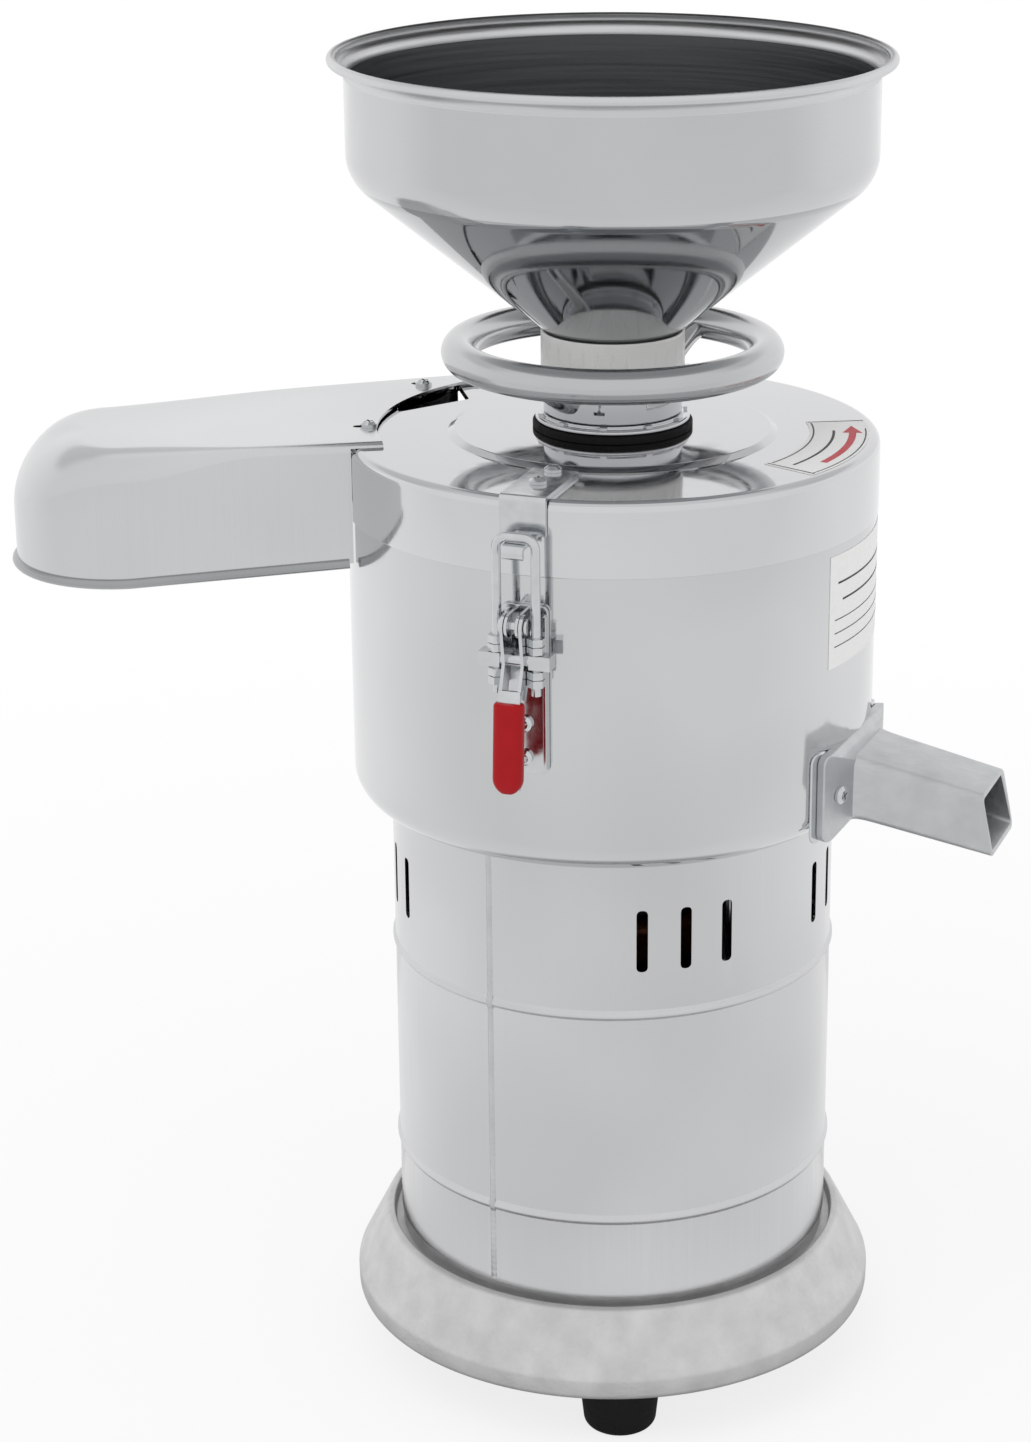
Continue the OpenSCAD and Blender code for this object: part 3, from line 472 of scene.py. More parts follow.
def prism(outline, z0, z1, place=np.eye(3), origin=(0, 0, 0)):
    """Solid from an outline in its own XY, extruded from z0 to z1, then turned and moved."""
    n = len(outline)
    low = np.column_stack([outline, np.full(n, z0)])
    high = np.column_stack([outline, np.full(n, z1)])
    points = np.vstack([low, high]) @ np.array(place).T + np.array(origin)
    sides = [[i, (i + 1) % n, n + (i + 1) % n, n + i] for i in range(n)]
    mesh = bpy.data.meshes.new("cutter")
    mesh.from_pydata((points * MM).tolist(), [],
                     sides + [list(range(n))[::-1], list(range(n, 2 * n))])
    outward(mesh)
    solid = bpy.data.objects.new("cutter", mesh)
    bpy.context.scene.collection.objects.link(solid)
    return solid


def at_azimuth(azimuth):
    """Axes of a piece drawn at the front, with X to its right and Y inwards."""
    a = math.radians(azimuth)
    return np.array(((math.cos(a), -math.sin(a), 0), (math.sin(a), math.cos(a), 0), (0, 0, 1)))


def facing_out(azimuth):
    """Axes whose X is tangential, Y up and Z radially outwards at an azimuth."""
    turn = at_azimuth(azimuth)
    return turn @ np.array(((1, 0, 0), (0, 0, -1), (0, 1, 0)))


def circle(r, centre=(0, 0), steps=48):
    """Outline of a circle."""
    angle = np.linspace(0, 2 * np.pi, steps, endpoint=False)
    return np.column_stack([centre[0] + r * np.cos(angle), centre[1] + r * np.sin(angle)])


def softened(node, width_mm=0.35):
    """Copy of a CAD node with its edges rounded as pressing or casting leaves them."""
    mesh = frame["nodes"][node].data.copy()
    work = bmesh.new()
    work.from_mesh(mesh)
    bmesh.ops.remove_doubles(work, verts=work.verts, dist=0.002 * MM)
    bmesh.ops.dissolve_limit(work, angle_limit=math.radians(1), verts=work.verts, edges=work.edges)
    work.to_mesh(mesh)
    work.free()
    piece = link(node + "_soft", mesh, frame["nodes"][node]["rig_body"], (node,))
    bevel = piece.modifiers.new("edge", "BEVEL")
    bevel.width, bevel.segments, bevel.limit_method = width_mm * MM, 2, "ANGLE"
    bevel.angle_limit = math.radians(SHARP_DEG)
    bevel.harden_normals = True
    return piece


# ---------- turned pieces ----------


def base_casting():
    """Cast bell: rounded foot edge, straight band, conical flank, rim and groove."""
    section = rounded([
        (112, BASE_Z, 2), (BASE_R, BASE_Z, 3), (BASE_R + 0.2, BASE_Z + 10.5, 6),
        (107.2, BASE_TOP_Z - 0.6, 3), (103.6, BASE_TOP_Z, 1), (103, DECK_Z - 3, 1),
        (99.2, DECK_Z - 3, 0), (99.2, JACKET_Z - 0.1, 0), (96.5, JACKET_Z - 0.1, 0),
        (96.5, DECK_Z, 0), (14, DECK_Z, 0), (14, DECK_Z - 8, 2), (96, DECK_Z - 8, 5),
        (111, BASE_Z + 10, 4)])
    return turned("base_bell", section, "root", (), "cast")


def bead(z):
    """Low rib rolled outwards at height z: outline of (radius, height)."""
    t = np.linspace(0, 1, 17)
    swell = np.sin(np.pi * t) ** 1.5
    return np.column_stack([JACKET_R + BEAD_OUT * swell, z + BEAD_H * (t - 0.5)])


def motor_jacket():
    """Rolled sheet with two ribs, vents, and holes for the switch and the cable gland."""
    outer = np.vstack([[(JACKET_R, JACKET_Z)], bead(BEAD_Z[0]), bead(BEAD_Z[1]),
                       [(JACKET_R, JACKET_TOP_Z)]])
    inner = outer[::-1] - (JACKET_T, 0)
    piece = turned("jacket_sheet", np.vstack([outer, inner]), "root", ("motor_jacket",), "sheet")
    slot = window(VENT_W, VENT_Z, VENT_Z + VENT_LEN, 2.4)
    cutters = [prism(slot, 90, 110, facing_out(g + i * VENT_STEP))
               for g in VENT_GROUPS for i in (-1, 0, 1)]
    for hole in (window(SWITCH_HOLE_W, *SWITCH_HOLE_Z, 0), circle(GLAND_HOLE_R, (0, GLAND_Z))):
        cutters.append(prism(hole, 90, 110, facing_out(180)))
    cut(piece, cutters)
    # the ribs get the lip finish: rougher from the rolling, and lighter as a painted highlight
    # along them
    piece.data.materials.append(FINISH["lip"])
    rolled_and_highlit = [int(min(abs(f.center[2] / MM - z) for z in BEAD_Z) < BEAD_H / 2)
              for f in piece.data.polygons]
    piece.data.polygons.foreach_set("material_index", rolled_and_highlit)
    return piece


def drum():
    """Drawn pot: straight wall and a wide round corner down to its floor."""
    centre = (DRUM_R - DRUM_FILLET, DRUM_Z + DRUM_FILLET)
    outer = arc(centre, DRUM_FILLET, -90, 0, 17)
    inner = arc(centre, DRUM_FILLET - DRUM_T, -90, 0, 17)[::-1]
    section = np.vstack([[(32, DRUM_Z)], outer, [(DRUM_R, SEAM_Z - 0.15), (DRUM_R - 0.15, SEAM_Z),
                         (DRUM_R - DRUM_T, SEAM_Z)], inner, [(32, DRUM_Z + DRUM_T)]])
    piece = turned("drum_pot", section, "root", ("drum",), "wall")
    hole = window(SPOUT_HOLE_W, *SPOUT_HOLE_Z, 2)
    cut(piece, [prism(hole, 100, 125, facing_out(TUBE_AZ))])
    return piece


def lid():
    """Deep cap with a rolled edge and a raised disc; the residue leaves by its side."""
    step = 1.2  # radius of the disc's edge
    section = rounded([
        (27, LID_TOP_Z - LID_T, 0), (LID_R - LID_T, LID_TOP_Z - LID_T, 2),
        (LID_R - LID_T, SEAM_Z + 0.05, 0), (LID_R, SEAM_Z + 0.05, 0.2), (LID_R, LID_TOP_Z, 4.5),
        (DISC_R + 2.6, LID_TOP_Z, step), (DISC_R - 0.6, LID_TOP_Z + DISC_RISE, step),
        (27, LID_TOP_Z + DISC_RISE, 0)], 8)
    piece = turned("lid_cap", section, "root", ("lid",), "lid")
    outlet = np.array([(r * math.cos(math.radians(a)), r * math.sin(math.radians(a)))
                       for r, sweep in ((104, range(120, 187, 6)), (130, range(186, 119, -6)))
                       for a in sweep])
    notch = rounded([(-95.5, 29.6, 1), (-65, 53, 2), (-72, 86, 2), (-79, 66.1, 0), (-84, 59.6, 0),
                     (-89, 51.8, 0), (-93, 44.2, 0), (-96.5, 36, 0)])
    screws = [prism(circle(1.55, p, 16), 430, 450) for p in HOOD_SCREWS]
    cut(piece, [prism(outlet, SEAM_Z + 5, SEAM_Z + 27), prism(notch, 430, 445)] + screws)
    mirror_top(piece)
    return piece


def mirror_top(piece):
    """The lid's flat top is polished further than its wall."""
    piece.data.materials.append(FINISH["mirror"])
    normals = np.array([p.normal[2] for p in piece.data.polygons])
    flat_enough = 0.55
    index = (normals > flat_enough).astype(np.int32)
    piece.data.polygons.foreach_set("material_index", index)


def hopper():
    """Spun funnel: flared lip with a small bead, straight wall, soft bend and burnished cone; the
    cone's darker colour is a painted reflection and the inside's darker colour is painted shade.
    """
    bend = (HOPPER_R - BOWL_BEND_R, BOWL_BEND_Z)
    flare = (HOPPER_R + LIP_FLARE_R, HOPPER_TOP_Z - 4 - LIP_FLARE_R)
    bead_at = (HOPPER_R + LIP_FLARE_R, HOPPER_TOP_Z - 2)
    section = np.vstack([
        [(19, 455), (19, CONE_Z - 2.5), (23.3, CONE_Z)], arc(bend, BOWL_BEND_R, -CONE_LEAN, 0, 18),
        arc(flare, LIP_FLARE_R, 180, 95, 12), arc(bead_at, 2, -80, 150, 18),
        arc(flare, LIP_FLARE_R + HOPPER_T, 102, 180, 12),
        arc(bend, BOWL_BEND_R - HOPPER_T, 0, -CONE_LEAN, 14),
        [(22.5, CONE_Z + 1.4), (17.7, CONE_Z - 2), (17.7, 455)]])
    piece = turned("hopper_funnel", section, "hopper", ("hopper",), "spun")
    inside, cone, lip = 1, 2, 3
    kind = np.zeros(len(piece.data.polygons), np.int32)
    for i, face in enumerate(piece.data.polygons):
        inward = face.normal[0] * face.center[0] + face.normal[1] * face.center[1] < 0
        if face.center[2] > (HOPPER_TOP_Z - 9) * MM:
            kind[i] = lip
        # inward faces get the darker inside finish: painted shade
        elif inward:
            kind[i] = inside
        elif face.center[2] < (BOWL_BEND_Z - BOWL_BEND_R * 0.6) * MM:
            # the whole cone gets the darker colour: a painted reflection
            kind[i] = cone
    for finish in ("dull", "cone", "lip"):
        piece.data.materials.append(FINISH[finish])
    piece.data.polygons.foreach_set("material_index", kind)
    return piece


def handwheel():
    """Bent round bar with two spokes and a turned hub, all polished."""
    ring = turned("handwheel_ring", np.column_stack([
        WHEEL_R + WHEEL_BAR_R * np.cos(np.linspace(0, 2 * np.pi, 40, endpoint=False)),
        WHEEL_Z + WHEEL_BAR_R * np.sin(np.linspace(0, 2 * np.pi, 40, endpoint=False))]),
        "handwheel", ("handwheel",), "bar")
    hub = rounded([(22.1, 450.3, 0), (30.3, 450.3, 0.8), (30.3, 463.8, 0.8), (22.1, 463.8, 0)])
    turned("handwheel_hub", hub, "handwheel", (), "mirror", 180)
    for k, azimuth in enumerate((142, -38)):
        t = np.linspace(0, 1, 13)[:, None]
        angle = np.linspace(0, 2 * np.pi, 28, endpoint=False)[None]
        r = 5.0 - 1.0 * t
        out = 26 + (WHEEL_R - 28) * t
        height = 458.2 + (WHEEL_Z - 2 - 458.2) * (0.5 - 0.5 * np.cos(np.pi * t))
        points = np.stack([r * np.cos(angle), -out + 0 * angle, height + r * np.sin(angle)], -1)
        mesh = grid_mesh("spoke", points @ at_azimuth(azimuth).T, False, True)
        outward(mesh)
        link(f"handwheel_spoke_{k + 1}", mesh, "handwheel", (), "bar")


def neck():
    """Threaded sleeve with its rounded flange and ring of bumps, over a rubber seal."""
    section = rounded([(22.1, 407, 0), (26, 407, 0), (26, STEP_Z, 0), (33.8, STEP_Z, 1.0),
                       (33.8, STEP_Z + 2.2, 1.2), (31, STEP_Z + 2.0, 0.4), (31, STEP_Z + 3.5, 0.4),
                       (22.1, STEP_Z + 3.5, 0)])
    turned("sleeve_turned", section, "carrier", ("threaded_sleeve",), "mirror", 180)
    seal = rounded([(27, NECK_Z + 0.05, 0), (35, NECK_Z + 0.05, 0.5), (35, STEP_Z - 0.1, 1.2),
                    (27, STEP_Z - 0.1, 0)])
    turned("neck_seal_ring", seal, NODE_BODY["neck_seal"], ("neck_seal",), "rubber", 180)
    bump = rounded([(-1.6, -33.1, 0.7), (1.6, -33.1, 0.7), (1.6, -29.5, 0), (-1.6, -29.5, 0)])
    bumps = 10
    for i in range(bumps):
        piece = prism(bump, STEP_Z + 2, STEP_Z + 3.4, at_azimuth(360 / bumps * i - 7))
        piece.name = f"sleeve_bump_{i + 1}"
        piece.data.materials.append(FINISH["mirror"])
        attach(piece, "carrier")


# ---------- hood ----------


def hood_outline(steps=160):
    """Outline of the hood from the near corner round its tip to the far corner, the point of
    the ridge that each outline point faces, and how far along it is: 1 where the tip's arc
    starts, 2 in its middle."""
    def tangent(c, r, away):
        """Angle at which the line touching a corner's circle and the tip's circle leaves both."""
        d = c - HOOD_TIP
        lean = math.asin((HOOD_TIP_R - r) / np.linalg.norm(d))
        return math.atan2(d[1], d[0]) + away * (math.pi / 2 - lean)
    r = HOOD_CORNER_R
    near, far = tangent(HOOD_NEAR, r, -1), tangent(HOOD_FAR, r, 1)
    sweep = np.linspace(near, far - 2 * np.pi, steps)
    tip = HOOD_TIP + HOOD_TIP_R * np.column_stack([np.cos(sweep), np.sin(sweep)])
    unit = np.array((np.cos(near), np.sin(near))), np.array((np.cos(far), np.sin(far)))
    start = HOOD_NEAR + r * unit[0]
    end = HOOD_FAR + r * unit[1]
    t = np.linspace(0, 1, 60, endpoint=False)[:, None]
    rim = np.vstack([start + (tip[0] - start) * t, tip, (tip[-1] + (end - tip[-1]) * t)[1:], [end]])
    root = (HOOD_NEAR + HOOD_FAR) / 2
    ridge = np.vstack([root + (HOOD_TIP - root) * t, np.repeat(HOOD_TIP[None], steps, 0),
                       (HOOD_TIP + (root - HOOD_TIP) * t)[1:], [root]])
    round_tip = 1 + np.sin(np.linspace(0, np.pi, steps)) ** 2
    along = np.concatenate([t[:, 0], round_tip, 1 - t[1:, 0], [0]])
    return rim, ridge, along


def residue_hood():
    """Folded and domed sheet: walls rise from the rim, turn over an edge radius that grows
    towards the tip, and close along the ridge; the rim is rolled round a wire."""
    rim, ridge, along = hood_outline()
    z_rim = (HOOD_ROOT_Z + (HOOD_RIM_Z - HOOD_ROOT_Z) * np.minimum(along, 1))[:, None]
    grow = np.clip(2 * along - 1, 0, 1)
    edge = (HOOD_FOLD_R + HOOD_FOLD_GROWTH * grow ** 2 * (3 - 2 * grow)
            + HOOD_TIP_GROWTH * np.maximum(along - 1, 0))[:, None]
    inward = ridge - rim
    span = np.linalg.norm(inward, axis=1)[:, None]
    inward = inward / span
    wall = np.linspace(0, 1, 14)[None]
    turn = np.radians(np.linspace(0, 90, 17))[None, 1:]
    roof = np.linspace(0, 1, 12)[None, 1:]
    depth = np.hstack([0 * wall + 0 * edge, edge * (1 - np.cos(turn)),
                       edge + (span - edge) * roof])
    height = np.hstack([z_rim + (HOOD_TOP_Z - edge - z_rim) * wall,
                        HOOD_TOP_Z - edge + edge * np.sin(turn), HOOD_TOP_Z + 0 * edge * roof])
    points = np.concatenate([rim[:, None] + inward[:, None] * depth[..., None],
                             height[..., None]], -1)
    mesh = grid_mesh("hood", points)
    outward(mesh)
    piece = link("hood_shell", mesh, "root", ("residue_hood",), "sheet")
    shell = piece.modifiers.new("wall", "SOLIDIFY")
    shell.thickness, shell.offset, shell.use_even_offset = HOOD_SHEET_T * MM, -1, True
    cutters = [prism(circle(LID_R + 0.15, steps=360), 370, LID_TOP_Z + 0.06),
               prism(circle(PLATE_INNER_R, steps=180), LID_TOP_Z - 5, LID_TOP_Z + 12)]
    for x, y in HOOD_SCREWS:
        a = math.atan2(y, x)
        turn_z = ((math.cos(a), -math.sin(a), 0), (math.sin(a), math.cos(a), 0), (0, 0, 1))
        slot = rounded([(-1.8, -1.8, 1.8), (6.8, -1.8, 1.8), (6.8, 1.8, 1.8), (-1.8, 1.8, 1.8)])
        cutters.append(prism(slot, LID_TOP_Z + 0.5, LID_TOP_Z + 6, turn_z, (x, y, 0)))
    cut(piece, cutters)
    hood_rim(rim, z_rim[:, 0])
    return piece


def hood_rim(rim, z):
    """Bead of 4.4 mm rolled round the hood's rim, up to the lid's wall; its darker finish is a
    painted reflection.
    """
    keep = np.hypot(rim[:, 0], rim[:, 1]) > LID_R + 1.5
    path = np.column_stack([rim, z])[keep]
    way = np.gradient(path, axis=0)
    way /= np.linalg.norm(way, axis=1)[:, None]
    side = np.cross(way, np.array((0, 0, 1.0)))
    side /= np.linalg.norm(side, axis=1)[:, None]
    top = np.cross(side, way)
    sides = 16
    angle = np.linspace(0, 2 * np.pi, sides, endpoint=False)
    across, upright = np.cos(angle)[None, :, None], np.sin(angle)[None, :, None]
    ring = side[:, None] * across + top[:, None] * upright
    points = path[:, None] + HOOD_WIRE_R * ring
    points = np.concatenate([np.repeat(path[:1, None], sides, 1), points,
                             np.repeat(path[-1:, None], sides, 1)])
    mesh = grid_mesh("hood_rim_bead", points, False, True)
    outward(mesh)
    # the hem finish's darker colour is a painted reflection
    link("hood_rim_bead", mesh, "root", (), "hem", 50)


# ---------- milk spout ----------


def milk_spout():
    """Tapered tube with round corners, wider at its foot, whose mouth is cut so that the lower
    lip stands out; it widens softly into a plate bent to the drum's curve."""
    turn = at_azimuth(TUBE_AZ)

    def section(half_top, half_foot, low, high, corner, out_low, out_high):
        """Round-cornered trapezoid across the tube, as points of across, out and height."""
        flat = rounded([(-half_foot, low, corner), (half_foot, low, corner),
                        (half_top, high, corner), (-half_top, high, corner)], 6)
        up = (flat[:, 1:] - low) / (high - low)
        return np.hstack([flat[:, :1], -(out_low + (out_high - out_low) * up), flat[:, 1:]])

    def loft(root, mouth, swell):
        """Rings from root to mouth, swollen at the root by a share that fades in a few mm."""
        length, fade = 65, 2.5
        t = np.linspace(0, 1, 40)[:, None, None]
        points = root[None] + (mouth - root)[None] * t
        middle = points.mean(1, keepdims=True)
        grow = 1 + swell * np.exp(-t * length / fade) * np.array((1, 0, 1))
        return (middle + (points - middle) * grow) @ turn.T
    outer = loft(section(22.3, 22.7, 281.6, 310.2, 5.5, 117.5, 117.5),
                 section(19.2, 20.2, 270.8, 298.6, 4, 181.3, 176.2), 0.09)
    inner = loft(section(19.2, 19.5, 285, 307, 3.5, 112, 112),
                 section(16.7, 17.8, 273.4, 296.0, 2.5, 181.4, 176.1), 0)[::-1]
    mesh = grid_mesh("spout", np.concatenate([outer, inner]), True, True)
    outward(mesh)
    tube_piece = link("spout_tube", mesh, "root", ("milk_spout",), "casting", 50)
    soft = tube_piece.modifiers.new("edge", "BEVEL")
    soft.width, soft.segments, soft.limit_method = 0.5 * MM, 2, "ANGLE"
    saddle("spout_saddle", 79, 40, DRUM_R + 1.3, DRUM_R + 5.3, "casting", ())
    saddle("spout_backing", 86, 41, DRUM_R + 0.05, DRUM_R + 1.25, "zinc", ("spout_gasket",))
    return tube_piece


def saddle(name, w, h, r_in, r_out, finish, nodes):
    """Plate with round corners, bent to the drum's curve, with the tube's opening in it."""
    flat = window(w, -h / 2, h / 2, 5)
    hole = window(SPOUT_HOLE_W, -10.5, 9, 3, math.radians(TUBE_AZ - SPOUT_AZ) * DRUM_R)
    t = np.linspace(0, 1, 9)[:, None, None]
    rings = flat[None] + (hole[None] - flat[None]) * t
    a = rings[..., 0] / DRUM_R
    layers = [np.stack([r * np.sin(a), -r * np.cos(a), SPOUT_PLATE_Z + rings[..., 1]], -1)
              for r in (r_out, r_in)]
    points = np.concatenate([layers[0], layers[1][::-1]]) @ at_azimuth(SPOUT_AZ).T
    mesh = grid_mesh(name, points, True, True)
    outward(mesh)
    piece = link(name, mesh, "root", nodes, finish, 40)
    soft = piece.modifiers.new("edge", "BEVEL")
    soft.width, soft.segments, soft.limit_method = 0.6 * MM, 3, "ANGLE"
    return piece


# ---------- labels ----------


def sector(name, r0, r1, a0, a1, z, thick, finish, steps):
    """Flat ring sector from azimuth a0 to a1."""
    a = np.radians(np.linspace(a0, a1, steps))[:, None]
    r = np.array((r0, r1, r1, r0), float)[None]
    h = np.array((z, z, z + thick, z + thick), float)[None]
    printed(name, np.stack([r * np.sin(a), -r * np.cos(a), h + 0 * a], -1), finish)


def printed(name, points, finish):
    """Thin closed band of ink from its rings of points."""
    mesh = grid_mesh(name, with_ends(points), False, True)
    outward(mesh)
    link(name, mesh, "root", (), finish, 20)


def lid_print():
    """Turning mark of the lid's label: three thin arcs and a red arrow that follows them."""
    z, thick = LID_TOP_Z + 0.27, 0.04
    for name, r0, r1, a0, a1, finish, steps in (
            ("arc_inner", 87.5, 88.2, 50, 96, "ink", 48),
            ("arc_middle", 96.0, 97.2, 52, 88, "ink", 48),
            ("edge_line", 110.3, 110.9, 49, 90, "ink", 48),
            ("arrow_bar", 103.2, 106.4, 58, 86, "red ink", 48),
            ("border_near", 86.6, 111.4, 48.7, 49.2, "ink", 3),
            ("border_far", 86.6, 111.4, 96.9, 97.4, "ink", 3)):
        sector("lid_label_" + name, r0, r1, a0, a1, z, thick, finish, steps)
    a = np.radians((86, 86, 92.5))
    r = np.array((100.4, 109.2, 104.8))
    tip = np.column_stack([r * np.sin(a), -r * np.cos(a)])
    head = prism(tip, z, z + thick)
    head.name = "lid_label_arrow_head"
    head.data.materials.append(FINISH["red ink"])
    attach(head, "root")


def drum_print():
    """Ruled lines of the drum's plate, as thin bands on its curve."""
    for k, (z, a0, a1) in enumerate(((391, 55, 108), (383, 57, 106), (375, 54, 110),
                                     (369, 54, 110), (363, 54, 110))):
        a = np.radians(np.linspace(a0, a1, 40))[:, None]
        thick = 0.9 if k < 2 else 0.45
        r = np.array((DRUM_R + 0.28, DRUM_R + 0.28, DRUM_R + 0.32, DRUM_R + 0.32))[None]
        h = np.array((z, z + thick, z + thick, z))[None]
        points = np.stack([r * np.sin(a), -r * np.cos(a), h + 0 * a], -1)
        printed(f"drum_label_rule_{k + 1}", points, "ink")


def weld_seam():
    """Stitch weld down the jacket: a low bead of overlapping scales 3 mm apart."""
    z = np.arange(JACKET_Z + 1, JACKET_TOP_Z - 1, 0.5)
    scale = 0.5 + 0.5 * np.abs(np.sin(np.pi * z / 3.0))
    swell = np.zeros_like(z)
    for centre in BEAD_Z:
        t = np.clip((z - centre + 3.6) / 7.2, 0, 1)
        swell += BEAD_OUT * np.sin(np.pi * t) ** 1.5
    u = np.linspace(-1, 1, 9)[None]
    width = (1.1 + 0.35 * scale)[:, None]
    r = JACKET_R + swell[:, None] + 0.02 + (0.12 + 0.3 * scale[:, None]) * (1 - u ** 2)
    side = width * u
    points = np.stack([side, -np.sqrt(r ** 2 - side ** 2), z[:, None] + 0 * u], -1)
    back = points[:, ::-1] * (1, (JACKET_R - 0.6) / JACKET_R, 1)
    loop = np.concatenate([points, back], 1) @ at_azimuth(SEAM_AZ).T
    mesh = grid_mesh("weld", loop, False, True)
    outward(mesh)
    link("jacket_weld", mesh, "root", (), "casting", 80)


def grip(side):
    """Vinyl sleeve dipped over the lever: rounded oblong, closed and rounded at its lower end."""
    up = np.concatenate([np.linspace(-20, -13, 12), np.linspace(-12, 18, 12), [18.6, 19.0]])
    low = np.clip((up + 13) / -7, 0, 1)
    top = np.clip((up - 17.8) / 1.2, 0, 1)
    size = np.sqrt(np.clip(1 - low ** 2, 0, 1)) * (1 - 0.12 * top ** 2)
    angle = np.linspace(0, 2 * np.pi, 48, endpoint=False)[None]
    c, q = np.cos(angle), np.sin(angle)
    x = np.sign(c) * np.abs(c) ** 0.62 * 6.5 * size[:, None]
    y = np.sign(q) * np.abs(q) ** 0.75 * 3.75 * (0.35 + 0.65 * size[:, None]) * (size[:, None] > 0)
    z = up[:, None] + 0 * angle
    points = np.stack([x, y, z], -1)
    cap = np.repeat(points[-1:].mean(1, keepdims=True), 48, 1)
    points = np.concatenate([points, cap])
    lean = math.radians(-3.9)
    tilt = np.array(((1, 0, 0), (0, math.cos(lean), -math.sin(lean)),
                     (0, math.sin(lean), math.cos(lean))))
    points = points @ tilt.T + (0, -GRIP_AT[0], GRIP_AT[1])
    mesh = grid_mesh("grip", points @ at_azimuth(LATCHES[side]).T, False, True)
    outward(mesh)
    link(f"{side}_grip_sleeve", mesh, f"{side}_lever", (f"{side}_grip",), "vinyl", 60)


for part in ("latch_plate", "lever", "hook"):
    for side in LATCHES:
        softened(f"{side}_{part}")
for side in LATCHES:
    grip(side)
for node, width in (("foot_front", 1.2), ("foot_right", 1.2), ("foot_left", 1.2),
                    ("nylon_collar", 0.25),
                    ("switch_housing", 0.8), ("switch_rocker", 0.4), ("cable_gland", 0.4),
                    ("hood_screws", 0.2), ("spout_screws", 0.2), ("latch_screws", 0.2)):
    softened(node, width)

base = base_casting()
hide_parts("base_casting")
motor_jacket()
drum()
lid()
hopper()
handwheel()
neck()
residue_hood()
milk_spout()
lid_print()
drum_print()
weld_seam()

# ---------- floor, world and lamps ----------

FLOOR_SIDE = 6000
# how bright metal sees the floor's glow near the camera, at the back and under the machine, where
# the dark patch is a painted shadow
FLOOR_NEAR, FLOOR_FAR, FLOOR_MIRRORED = 0.84, 1.0, 0.85
UNDER_PAINTED_SHADOW, UNDER_REACH_M = 0.35, (0.13, 0.2)
# how bright the room is for matt surfaces, and how bright metal sees it
ROOM_DIFFUSE = 0.8
ROOM_FRONT, ROOM_BACK, ROOM_CEILING = 0.88, 1.0, 0.75
FLAG_HALF_W, FLAG_Y, FLAG_Z = 130, (40, 520), 760


def make_floor():
    """White studio paper: the camera sees it white with the shadow, and metal sees a glow
    with painted light towards the back and a painted shadow under the machine."""
    h = FLOOR_SIDE / 2
    mesh = bpy.data.meshes.new("floor")
    mesh.from_pydata([(x * MM, y * MM, 0) for x, y in ((-h, -h), (h, -h), (h, h), (-h, h))], [],
                     [(0, 1, 2, 3)])
    floor = bpy.data.objects.new("floor", mesh)
    bpy.context.scene.collection.objects.link(floor)
    material, tree, surface = new_material("studio paper", "#f4f4f4", roughness=0.9)
    path = add(tree, "ShaderNodeLightPath")
    white = add(tree, "ShaderNodeEmission", {"Color": (1, 1, 1, 1), "Strength": 1.0})
    place = add(tree, "ShaderNodeTexCoord").outputs["Object"]
    away = add(tree, "ShaderNodeVectorMath", {0: place}, operation="LENGTH")
    plain = ramp(tree, away.outputs["Value"], 0.25, 1.1, 0.8, 1.0)
    seen = add(tree, "ShaderNodeMath", {0: path.outputs["Is Camera Ray"], 1: plain.outputs[0]},
               operation="MULTIPLY")
    paper = add(tree, "ShaderNodeMixShader", {0: seen.outputs[0], 1: surface.outputs[0],
                                              2: white.outputs[0]})
    depth = add(tree, "ShaderNodeSeparateXYZ", {0: place})
    slope = ramp(tree, depth.outputs[1], -0.55, 0.5, FLOOR_NEAR, FLOOR_FAR)
    # painted shadow: the glow metal sees is dimmed close round the machine
    under = ramp(tree, away.outputs["Value"], *UNDER_REACH_M, UNDER_PAINTED_SHADOW, 1.0)
    level = add(tree, "ShaderNodeMath", {0: slope.outputs[0], 1: under.outputs[0]},
                operation="MULTIPLY")
    glow = add(tree, "ShaderNodeEmission", {"Color": (1, 1, 1, 1), "Strength": level.outputs[0]})
    part = add(tree, "ShaderNodeMath",
               {0: path.outputs["Is Glossy Ray"], 1: FLOOR_MIRRORED}, operation="MULTIPLY")
    mix = add(tree, "ShaderNodeMixShader", {0: part.outputs[0], 1: paper.outputs[0],
                                            2: glow.outputs[0]})
    out = [n for n in tree.nodes if n.type == "OUTPUT_MATERIAL"][0]
    tree.links.new(mix.outputs[0], out.inputs["Surface"])
    mesh.materials.append(material)


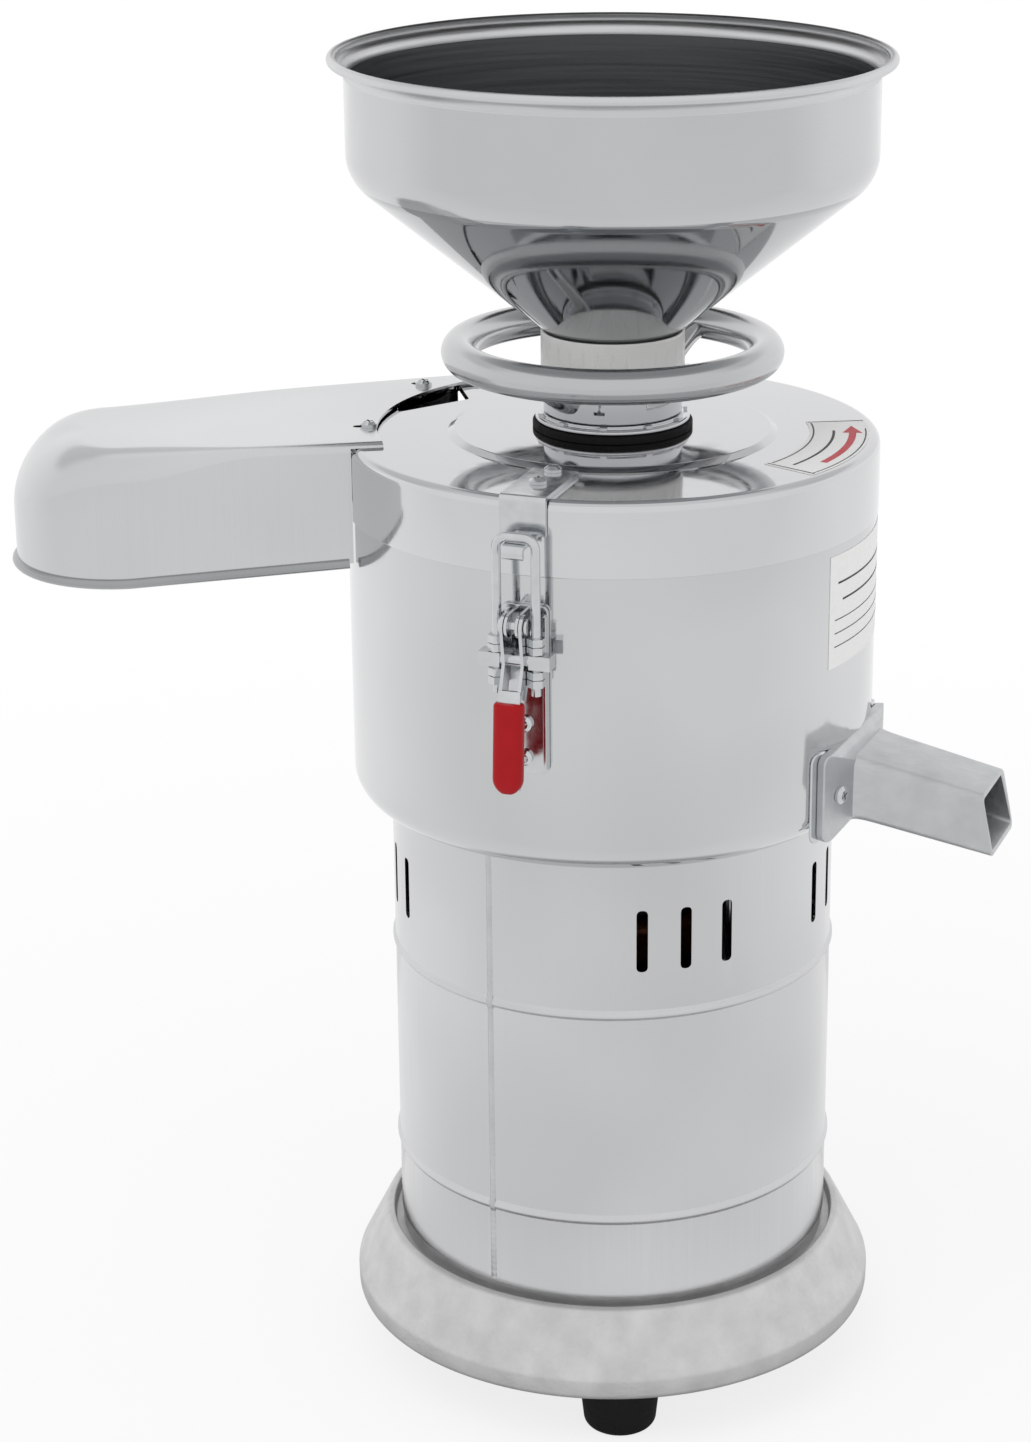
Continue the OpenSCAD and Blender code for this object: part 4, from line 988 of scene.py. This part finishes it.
def make_world():
    """Pale room. Metal also sees the darker ceiling behind the machine."""
    world = bpy.data.worlds.new("studio")
    bpy.context.scene.world = world
    world.use_nodes = True
    tree = world.node_tree
    tree.nodes.clear()
    sky = add(tree, "ShaderNodeTexCoord").outputs["Generated"]
    way = add(tree, "ShaderNodeSeparateXYZ", {0: sky})
    high = ramp(tree, way.outputs[2], 0.42, 0.52, 0, 1)
    zenith = ramp(tree, way.outputs[2], 0.88, 0.98, 1, 0)
    behind = ramp(tree, way.outputs[1], -0.1, 0.3, 0, 1)
    both = add(tree, "ShaderNodeMath", {0: high.outputs[0], 1: behind.outputs[0]},
               operation="MULTIPLY")
    dark = add(tree, "ShaderNodeMath", {0: both.outputs[0], 1: zenith.outputs[0]},
               operation="MULTIPLY")
    depth = ramp(tree, way.outputs[1], -0.15, 0.6, ROOM_FRONT, ROOM_BACK)
    shade = ramp(tree, dark.outputs[0], 0, 1, 1, ROOM_CEILING)
    level = add(tree, "ShaderNodeMath", {0: depth.outputs[0], 1: shade.outputs[0]},
                operation="MULTIPLY")
    room = add(tree, "ShaderNodeBackground", {"Color": (1, 1, 1, 1), "Strength": level.outputs[0]})
    soft = add(tree, "ShaderNodeBackground", {"Color": (1, 1, 1, 1), "Strength": ROOM_DIFFUSE})
    plain = add(tree, "ShaderNodeBackground", {"Color": (1, 1, 1, 1), "Strength": 1.0})
    path = add(tree, "ShaderNodeLightPath")
    metal = add(tree, "ShaderNodeMixShader", {0: path.outputs["Is Glossy Ray"],
                                              1: soft.outputs[0], 2: room.outputs[0]})
    shown = add(tree, "ShaderNodeMixShader", {0: path.outputs["Is Camera Ray"],
                                              1: metal.outputs[0], 2: plain.outputs[0]})
    add(tree, "ShaderNodeOutputWorld", {0: shown.outputs[0]})


def black_flag():
    """Black card over the machine's back that only metal sees: it darkens the funnel's cone."""
    mesh = bpy.data.meshes.new("black_flag")
    mesh.from_pydata([(x * MM, y * MM, FLAG_Z * MM) for x, y in
                      ((-FLAG_HALF_W, FLAG_Y[0]), (FLAG_HALF_W, FLAG_Y[0]),
                       (FLAG_HALF_W, FLAG_Y[1]), (-FLAG_HALF_W, FLAG_Y[1]))], [], [(0, 1, 2, 3)])
    flag = bpy.data.objects.new("black_flag", mesh)
    bpy.context.scene.collection.objects.link(flag)
    mesh.materials.append(new_material("black velvet", "#0a0a0a", roughness=1.0)[0])
    flag.visible_camera = flag.visible_diffuse = flag.visible_shadow = False


def lamp(name, place_mm, target_mm, size_mm, watts):
    """Soft rectangular lamp that metal doesn't mirror."""
    data = bpy.data.lights.new(name, "AREA")
    data.shape, data.size, data.size_y = "RECTANGLE", size_mm[0] * MM, size_mm[1] * MM
    data.energy = watts
    light = bpy.data.objects.new(name, data)
    place, target = np.array(place_mm) * MM, np.array(target_mm) * MM
    light.location = place
    light.rotation_euler = Vector(target - place).to_track_quat("-Z", "Y").to_euler()
    light.visible_glossy = False
    bpy.context.scene.collection.objects.link(light)


make_floor()
make_world()
black_flag()
lamp("key", (-700, -900, 1900), (0, 0, 300), (1400, 1400), 9)
